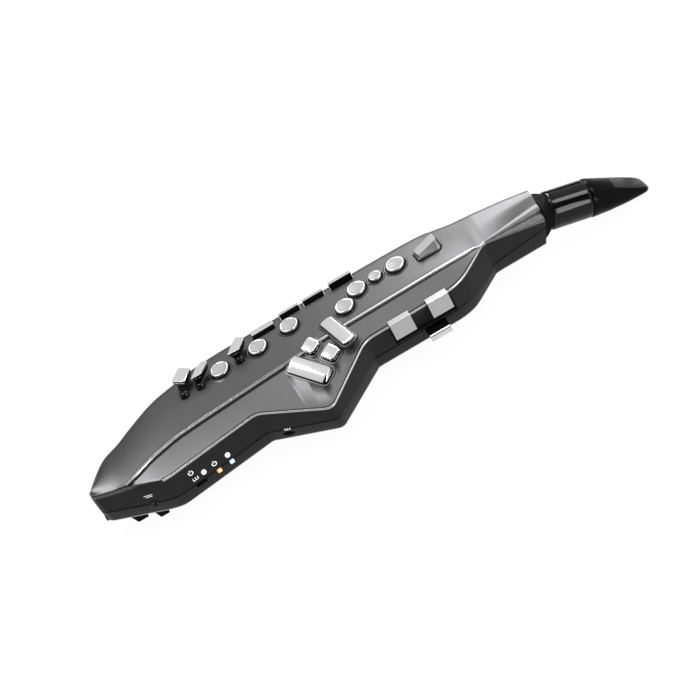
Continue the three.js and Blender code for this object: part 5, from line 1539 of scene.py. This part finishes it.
@dataclass
class Mouth:
    """Collar, barrel, mouthpiece and reed along the mouth axis."""

    radius: float = BARREL_RADIUS
    length: float = MOUTH_LENGTH
    collar_end: float = 0.086
    barrel_end: float = 0.436
    tenon_end: float = 0.6
    bore: float = 0.33
    socket: float = 0.65
    stations: Sequence[tuple[float, ...]] = (
        (0.439, 1, 1, -1, 2), (0.455, 1.02, 1.02, -1.02, 2), (0.5, 1, 0.96, -1, 2),
        (0.545, 0.98, 0.86, -0.97, 2),
        (0.6, 0.95, 0.74, -0.93, 2.1), (0.655, 0.9, 0.61, -0.86, 2.2), (0.73, 0.83, 0.45, -0.8, 2.3),
        (0.8, 0.75, 0.31, -0.73, 2.4), (0.89, 0.64, 0.11, -0.62, 2.5), (0.945, 0.56, -0.05, -0.55, 2.6),
        (0.975, 0.46, -0.2, -0.5, 2.8), (0.985, 0.3, -0.33, -0.45, 3),
    )

    def table_z(self, share: float) -> float:
        """Height of the flat table under the mouthpiece."""
        return -self.radius * lerp(0.84, 0.46, (share - 0.58) / 0.42)

    def tube(self, radius: float, start: float, end: float, sides: int) -> Form:
        """A round hole along the mouth axis between two shares of its length."""
        return pin_x(self.radius * radius, self.length * start, self.length * end, sides)

    def build(self) -> None:
        """Makes the four pieces of the mouth end."""
        self.collar()
        self.barrel()
        self.mouthpiece()
        self.reed()

    def collar(self) -> None:
        """Makes the collar between the neck's square end and the round barrel."""
        r, end, rings = self.radius, self.length * self.collar_end, []
        for t in (i / 8 for i in range(9)):
            s = smooth(0, 1, t)
            rings.append(superellipse(lerp(CLEARANCE, end, t), lerp(r * 0.96, r * 0.93, s),
                                      lerp(up(0.33), r * 0.93, s), lerp(-up(0.44), -r * 0.93, s),
                                      lerp(5, 2, s)))
        made = SHOP.carve(loft(rings).placed(MOUTH_SEAT), "neck_collar",
                          [self.tube(self.bore, -0.1, 0.2, 48).placed(MOUTH_SEAT)])
        SHOP.dress(made, RUBBER, angle=40)

    def barrel(self) -> None:
        """Makes the glossy barrel with its grooves and tenon."""
        r, start, end = self.radius, self.length * self.collar_end + CLEARANCE, self.length * self.barrel_end
        tenon, bore, socket = self.length * self.tenon_end, r * self.bore, r * self.socket
        profile = [
            (bore, start), (r * 0.93, start), (r * 0.97, start + 0.5), (r, start + 1.6), (r, start + 3.4),
            (r - 0.35, start + 3.6), (r - 0.35, start + 4.1), (r, start + 4.3), (r, end - 2.4),
            (r - 0.12, end - 1.2),
            (r * 0.97, end), (socket, end), (socket, tenon), (bore, tenon),
        ]
        SHOP.piece("mouthpiece_barrel", about_x(turned_ring(profile, 96)).placed(MOUTH_SEAT), GLOSS, angle=40)

    def beyond(self, side: int, share0: float, z0: float, share1: float, z1: float) -> Form:
        """Everything on one side of a sloping line, as a form to cut.

        Args:
            side: 1 for what is above the line, -1 for what is below it.
            share0: where the line starts, as a share of the mouth's length.
            z0: its height there.
            share1: where it ends.
            z1: its height there.

        Returns:
            The form.
        """
        slope = math.atan2(z1 - z0, self.length * (share1 - share0))
        form = block(0, self.length * 0.6, -up(1), up(1), min(0.0, side * up(1)), max(0.0, side * up(1)))
        return about(form, "Y", -slope).moved(self.length * share0, 0, z0)

    def mouthpiece(self) -> None:
        """Makes the mouthpiece with its beak, table and facing."""
        r, first, last = self.radius, self.stations[0][0], self.stations[-1][0]
        places, *columns = zip(*self.stations)
        tracks = [track_of(list(zip(places, column))) for column in columns]
        shares = [0.439, 0.4425, 0.447, 0.452, 0.456, 0.47, 0.5, 0.52, 0.54]
        rings = []
        for share in shares + [lerp(0.545, last, i / 36) for i in range(37)]:
            half, top, bottom, power = (sum(t(min(last, max(first, share + d))) for d in (-0.012, 0, 0.012)) / 3
                                        for t in tracks)
            size = r * (1 - 0.02 * max(0.0, 1 - (share - first) / 0.012))
            rings.append(superellipse(self.length * share, half * size, top * size, bottom * size, power))
        table = self.table_z
        socket = pin_x(r * self.socket + CLEARANCE, self.length * 0.4,
                       self.length * (self.tenon_end + 0.006), 64)
        window = block(self.length * 0.7, self.length * 0.93, -r * 0.28, r * 0.28, table(0.7) * 1.4,
                       table(0.9) * 0.35)
        # The beak's cut facet takes the lighter beak finish, a painted highlight.
        beak = self.beyond(1, 0.665, r * 0.49, 1, -r * 0.24).painted(1)
        cuts = [*(cut.painted(0) for cut in (socket, self.tube(self.bore, 0.55, 0.74, 48), window)), beak,
                self.beyond(-1, 0.58, table(0.58), 1, table(1)).painted(0),
                self.beyond(-1, 0.62, table(0.62), 1, table(1) + r * 0.05).painted(0)]
        made = SHOP.carve(loft(rings).placed(MOUTH_SEAT), "mouthpiece", [cut.placed(MOUTH_SEAT)
                                                                         for cut in cuts],
                          finishes=(EBONITE, BEAK_HIGHLIGHT))
        SHOP.dress(made, EBONITE, "mouthpiece")

    def reed(self) -> None:
        """Makes the reed with its thinned tip."""
        r, rings, arch = self.radius, [], [math.pi * i / 12 for i in range(13)]
        for share, width, thick in ((0.592, 0.9, 0.1), (0.61, 1, 0.13), (0.75, 1, 0.12), (0.95, 1, 0.045),
                                    (0.97, 0.82, 0.035), (0.983, 0.5, 0.03)):
            half, top = r * 0.36 * width, self.table_z(share) - CLEARANCE
            ring = [(half, top), (-half, top)]
            ring += [(-half * math.cos(a), top - r * thick * (0.45 + 0.55 * math.sin(a))) for a in arch]
            rings.append(slice_x(ring, self.length * share))
        SHOP.piece("reed", loft(rings).placed(MOUTH_SEAT), REED, "reed", angle=35)


class Back:
    """Battery bay and cover, feet, hook, thumb rest, octave levers, strap ring and screws."""

    GAP = CELL * 0.03
    BAY = (along(0.2), along(0.2) + CELL * 7 + GAP * 3, across(0.315), across(0.315) + CELL * 3 + GAP * 4)
    MARGIN = WALL * 1.2
    SCREW_HOLE = 2.7
    SCREW_DEPTH = 1.15
    OCTAVE = (along(0.735), across(0.6))
    OCTAVE_LENGTH = up(0.55)
    OCTAVE_WIDTH = up(0.3)
    OCTAVE_SPACING = up(0.62)
    OCTAVE_HINGE = up(0.05)
    RING_RADIUS = up(0.2)
    RING_WIRE = up(0.032)
    RING_HINGE = up(0.085)
    LUG = (OCTAVE[0] - (OCTAVE_SPACING + OCTAVE_WIDTH) / 2 - up(0.045) - RING_RADIUS - RING_WIRE, across(0.62))
    BOARD = (along(0.46), along(0.8), across(0.52), across(0.86))
    SCREWS = ((0.03, 0.5), (0.13, 0.2), (0.15, 0.8), (0.32, 0.29), (0.335, 0.9), (0.47, 0.12), (0.5, 0.92),
              (0.62, 0.42), (0.78, 0.42), (0.79, 0.88))

    @classmethod
    def bay(cls, grow: float, z0: float, z1: float) -> Form:
        """The battery bay's block, grown on all sides."""
        x0, x1, y0, y1 = cls.BAY
        return block(x0 - grow, x1 + grow, y0 - grow, y1 + grow, z0, z1)

    @classmethod
    def octave_seats(cls) -> list[tuple[str, Matrix]]:
        """Seats of the two octave levers."""
        x, y = cls.OCTAVE
        return [(name, seat_at(x + side * cls.OCTAVE_SPACING / 2, y, 0))
                for name, side in (("octave_key_down", -1), ("octave_key_up", 1))]

    @classmethod
    def openings(cls) -> list[Form]:
        """Forms cut from the back shell.

        Returns:
            The bay, the levers' pockets and the screws' holes.
        """
        half, reach = cls.OCTAVE_WIDTH / 2 + CLEARANCE, HINGE_RADIUS + TRAVEL * 0.7
        cuts = [cls.bay(cls.MARGIN, -up(1), WALL), cls.bay(0, -up(1), up(1))]
        for _, seat in cls.octave_seats():
            pocket = block(-half, half, -reach, reach, -up(0.2), cls.OCTAVE_HINGE + HINGE_RADIUS + CLEARANCE)
            cuts += [pocket.placed(seat), hinge_pin(half, 0, cls.OCTAVE_HINGE, CLEARANCE).placed(seat)]
        for x, y in cls.SCREWS:
            hole = post(cls.SCREW_HOLE, -up(0.1), cls.SCREW_DEPTH, 32)
            cuts.append(hole.moved(along(x), across(y), back_z(along(x))))
        return cuts

    @classmethod
    def solids(cls) -> list[Form]:
        """Forms that stay solid inside the back shell.

        Returns:
            The bay's walls, the levers' linings and the board's posts.
        """
        x0, x1, y0, y1 = cls.BOARD
        forms = [cls.bay(cls.MARGIN + WALL, 0, WALL * 2), cls.bay(WALL, 0, up(0.3))]
        half, reach = cls.OCTAVE_WIDTH / 2 + PIN_REACH + WALL * 2, HINGE_RADIUS + TRAVEL + WALL
        lining = block(-half, half, -reach, reach, WALL / 2, cls.OCTAVE_HINGE + HINGE_RADIUS + CLEARANCE + WALL)
        forms += [lining.placed(seat) for _, seat in cls.octave_seats()]
        stand = post(up(0.06), WALL / 2, up(0.2) - CLEARANCE, 24)
        return forms + [stand.moved(lerp(x0, x1, u), lerp(y0, y1, v), 0) for u in (0.08, 0.92)
                        for v in (0.12, 0.88)]

    @classmethod
    def lugs(cls) -> list[Form]:
        """The strap ring's lug."""
        half, reach, (x, y) = up(0.04), up(0.09), cls.LUG
        lug = block(x - half, x + half, y - reach, y + reach, -up(0.15), WALL / 2)
        hole = pin_x(cls.RING_WIRE * 1.45, -half * 2, half * 2, 24).moved(x, y, -cls.RING_HINGE)
        return [SHOP.form_of(SHOP.carve(lug, "lug", [hole]))]

    def build(self) -> None:
        """Makes every piece of the back."""
        self.battery_cover()
        self.feet()
        self.hook()
        self.rest()
        self.octaves()
        ring = turned_ring([(self.RING_RADIUS + y, z) for y, z in circle(self.RING_WIRE, 20)], 72)
        ring = ring.moved(self.LUG[0], self.LUG[1] - self.RING_RADIUS, -self.RING_HINGE)
        SHOP.piece("strap_ring", ring, STEEL, "strap_ring", angle=60)
        for i, (x, y) in enumerate(self.SCREWS):
            self.screw(f"screw_{i + 1}", along(x), across(y))

    def battery_cover(self) -> None:
        """Makes the cover with its finger ribs."""
        form, (x0, x1, y0, y1) = self.bay(self.MARGIN - CLEARANCE, 0, WALL - CLEARANCE), self.BAY
        for i in range(9):
            x = lerp(x0, x1, 0.05 + 0.018 * i)
            form += block(x, x + 0.7, lerp(y0, y1, 0.3), lerp(y0, y1, 0.7), -WALL * 0.3, WALL / 2)
        SHOP.piece("battery_cover", form, BACK_SHADE_PAINT, "battery_cover", 0.25)

    def feet(self) -> None:
        """Makes the two rubber feet."""
        for name, x0, x1, y0, y1 in (("foot_1", 0.034, 0.066, 0.315, 0.46), ("foot_2", 0.0795, 0.1065, 0.245,
                                                                             0.6)):
            a, b = along(x0), along(x1)
            profile = rounded([(a, -CLEARANCE), (lerp(a, b, 0.22), -FOOT_HEIGHT),
                               (lerp(a, b, 0.92), -FOOT_HEIGHT), (b, -CLEARANCE)], [0.2, 0.9, 0.9, 0.2], 5)
            SHOP.piece(name, run_y(profile, across(y0), across(y1)), RUBBER, bevel=0.3)

    def hook(self) -> None:
        """Makes the thumb hook."""
        thick = FOOT_HEIGHT * 0.2
        gap = FOOT_HEIGHT - thick * 2 - CLEARANCE
        x, z = along(0.605), -CLEARANCE - thick - gap / 2

        def arc(x: float, z: float, radius: float, sweep: float, steps: int) -> list[Point]:
            """Part of a circle, from its top."""
            turns = [math.radians(90 + sweep * i / steps) for i in range(steps + 1)]
            return [(x + radius * math.cos(a), z + radius * math.sin(a)) for a in turns]

        profile = [(x - gap * 1.1, -CLEARANCE), (x - gap * 1.1, -CLEARANCE - thick),
                   *arc(x, z, gap / 2, -180, 20),
                   *arc(x - gap * 0.9, -FOOT_HEIGHT + thick / 2, thick / 2, 180, 10),
                   *arc(x, z, gap / 2 + thick, -180, 20)[::-1]]
        SHOP.piece("thumb_hook", run_y(profile, across(0.46), across(0.69)), RUBBER, bevel=0.35)

    def rest(self) -> None:
        """Makes the round thumb rest between the octave levers."""
        crown = ((0.138, 0.05), (0.13, 0.078), (0.115, 0.095), (0.09, 0.1), (0.05, 0.092), (0, 0.09))
        profile = [(0, -CLEARANCE), (up(0.14), -CLEARANCE), *((up(r), -up(depth)) for r, depth in crown)]
        SHOP.piece("thumb_rest", turned(profile, 48).moved(*self.OCTAVE), RUBBER, angle=50)

    def octaves(self) -> None:
        """Makes the two octave levers."""
        r, z, n, half = HINGE_RADIUS, self.OCTAVE_HINGE, self.OCTAVE_LENGTH, self.OCTAVE_WIDTH / 2
        root, tip, thick = -up(0.06), -up(0.075), up(0.05)
        profile = rounded([
            (-r * 0.8, z), (r * 0.8, z), (r * 0.8, root), (n * 0.6, tip), (n * 0.6, tip - thick),
            (-n * 0.3, root - thick), (-n * 0.3, root), (-r * 0.8, root)], [0.1, 0.1, 0.8, 0.7, 1.0, 1.0,
                                                                            0.7, 0.5], 4)
        form = run_x(profile, half * 2) + pin_x(r, -half, half).moved(0, 0, z) + hinge_pin(half, 0, z)
        for name, seat in self.octave_seats():
            SHOP.piece(name, form.placed(seat), CHROME, name, 0.3)

    def screw(self, name: str, x: float, y: float) -> None:
        """Makes a cross-head screw in its counterbore."""
        head = turned([(0, 1.1), (2.4, 1.1), (2.4, 0.75), (1.9, 0.35), (0.9, 0.16), (0, 0.12)], 36)
        slots = [about(block(-a, a, -b, b, -0.5, 0.65), "Z", 0.6) for a, b in ((1.2, 0.24), (0.24, 1.2))]
        head, *slots = (form.moved(x, y, back_z(x)) for form in (head, *slots))
        SHOP.dress(SHOP.carve(head, name, slots), STEEL, angle=35)


def dress_inside() -> None:
    """Gives the frame's inner solids finishes of their own."""
    looks = {"main_board": BOARD, "key_board": BOARD, "breath_sensor": GLOSS, "breath_tube": TUBING}
    looks.update({f"cell_{i}": CELL_JACKET for i in range(1, 7)})
    for name, finish in looks.items():
        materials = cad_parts[name].data.materials
        materials.clear()
        materials.append(finish.material())
        LOG.info("inner solid %s: %s", name, finish.name)


@dataclass
class Studio:
    """Floor, world, lamps, black cards and camera."""

    tilt: float = math.radians(48.5)
    roll: float = math.radians(30)
    distance: float = 1266.0
    scale: float = 0.865
    picture: int = 688
    sensor: float = 36.0
    white: float = 1.0
    lit: float = 0.75
    floor_size: float = 24.0
    floor_grey: float = 0.86
    floor_glow: float = 0.96
    card_grey: float = 0.01
    aim: tuple[float, float, float] = (256, 45, 45)

    def build(self) -> None:
        """Makes the whole studio."""
        self.camera()
        self.floor()
        self.world()
        self.lamps()
        bpy.context.scene.view_settings.view_transform = "Standard"

    @property
    def centre(self) -> Vector:
        """The point in the middle of the picture, in metres."""
        return SHOP.origin + Vector(self.aim) * METRE

    def place(self, name: str, data: bpy.types.ID, matrix: Matrix) -> bpy.types.Object:
        """An object of the studio at a place in the scene."""
        made = bpy.data.objects.new(name, data)
        made.matrix_world = matrix
        bpy.context.scene.collection.objects.link(made)
        return made

    def camera(self) -> None:
        """Makes the camera at the picture's angle."""
        back = Vector((0, -math.sin(self.tilt), math.cos(self.tilt)))
        level, rise = Vector((1, 0, 0)), Vector((0, math.cos(self.tilt), math.sin(self.tilt)))
        right = level * math.cos(self.roll) - rise * math.sin(self.roll)
        upward = level * math.sin(self.roll) + rise * math.cos(self.roll)
        data = bpy.data.cameras.new("camera")
        data.sensor_fit, data.sensor_width = "HORIZONTAL", self.sensor
        data.lens = self.sensor * (self.distance / self.scale) / self.picture
        data.clip_start, data.clip_end = 0.05, 50
        turn = Matrix((right, upward, back)).transposed().to_4x4()
        where = Matrix.Translation(self.centre + back * self.distance * METRE)
        bpy.context.scene.camera = self.place("camera", data, where @ turn)

    def shown_white(self, graph: Graph, share: float) -> bpy.types.NodeSocket:
        """Share of the plain white shown to camera, mirror and clear rays.

        Args:
            graph: the graph that asks.
            share: how much of the white these rays get.

        Returns:
            A socket with that share for such rays and 0 for others.
        """
        rays = graph.node("LightPath").outputs
        total = rays["Is Camera Ray"]
        for label in ("Is Glossy Ray", "Is Transmission Ray"):
            total = graph.sum_of("MAXIMUM", total, rays[label])
        return graph.sum_of("MULTIPLY", total, share)

    def sheet(self, name: str, size: Point, shade: float, matrix: Matrix) -> tuple[bpy.types.Object, Graph]:
        """A flat matt rectangle about a place, with the graph of its material.

        Args:
            name: its name.
            size: its width and height in metres.
            shade: its grey.
            matrix: its place and turn.

        Returns:
            The object and its material's graph.
        """
        w, h = size[0] / 2, size[1] / 2
        mesh = bpy.data.meshes.new(name)
        mesh.from_pydata([(-w, -h, 0), (w, -h, 0), (w, h, 0), (-w, h, 0)], [], [(0, 1, 2, 3)])
        look = bpy.data.materials.new(name)
        look.use_nodes = True
        graph = Graph(look.node_tree)
        graph.feed(look.node_tree.nodes["Principled BSDF"], {
            "Base Color": (shade, shade, shade, 1), "Roughness": 1, "Specular IOR Level": 0})
        mesh.materials.append(look)
        made = self.place(name, mesh, matrix)
        return made, graph

    def floor(self) -> None:
        """Makes the pale floor that keeps a soft shadow."""
        _, graph = self.sheet("floor", (self.floor_size,) * 2, self.floor_grey, Matrix())
        nodes = graph.tree.nodes
        glow = graph.node("Emission", {"Strength": self.white}).outputs[0]
        mix = graph.node("MixShader", {"Fac": self.shown_white(graph, self.floor_glow),
                                       1: nodes["Principled BSDF"].outputs[0],
                                       2: glow})
        graph.feed(nodes["Material Output"], {"Surface": mix.outputs[0]})

    def world(self) -> None:
        """Makes the plain white world."""
        world = bpy.data.worlds.new("studio")
        bpy.context.scene.world = world
        world.use_nodes = True
        graph = Graph(world.node_tree)
        strength = graph.node("MapRange", {"To Min": self.lit, "To Max": self.white,
                                           "Value": self.shown_white(graph, 1)})
        graph.feed(world.node_tree.nodes["Background"], {"Color": (1, 1, 1, 1),
                                                         "Strength": strength.outputs["Result"]})

    def panel(self, name: str, place: Vector, size: Point, power: float | None) -> None:
        """A softbox that faces the object, or a black card where it has no power.

        Args:
            name: the object's name.
            place: where it stands from the picture's centre, in metres.
            size: its width and height in metres.
            power: its lamp power in watts, or None for a card.
        """
        aim = (-place).to_track_quat("-Z", "Y").to_matrix().to_4x4()
        matrix = Matrix.Translation(self.centre + place) @ aim
        if power is None:
            made, _ = self.sheet(name, size, self.card_grey, matrix)
            made.visible_diffuse = made.visible_shadow = False
        else:
            data = bpy.data.lights.new(name, "AREA")
            data.shape, data.energy = "RECTANGLE", power
            data.size, data.size_y = size
            made = self.place(name, data, matrix)
        made.visible_camera = False

    def lamps(self) -> None:
        """Makes the softboxes and the black cards."""
        for name, place, size, power in (
            ("bell_softbox", (-0.52, 0.36, 1.2), (0.5, 0.62), 13.0),
            ("waist_softbox", (0.3, 0.0, 1.3), (0.5, 0.3), 2.2),
            ("neck_softbox", (0.5, 1.03, 0.88), (0.5, 0.8), 15.0),
            ("crown_softbox", (0.95, -0.2, 0.99), (0.42, 0.6), 9.0),
            ("low_softbox", (0.75, -1.09, 0.26), (0.42, 0.56), 8.0),
            ("front_card", (0.0, -1.2, 1.15), (3.6, 1.9), None),
            ("back_card", (-0.3, 1.7, 0.32), (3.4, 0.7), None),
        ):
            self.panel(name, Vector(place), size, power)


def main() -> None:
    """Builds the instrument and the studio in order."""
    logging.basicConfig(level=logging.WARNING, format="%(name)s: %(message)s")
    keys = panel_keys()
    Housing(keys).build()
    for key in [*keys, LOW_PALM]:
        key.build()
    Mouth().build()
    Fittings().build()
    Back().build()
    dress_inside()
    Studio().build()


if __name__ == "__main__":
    main()
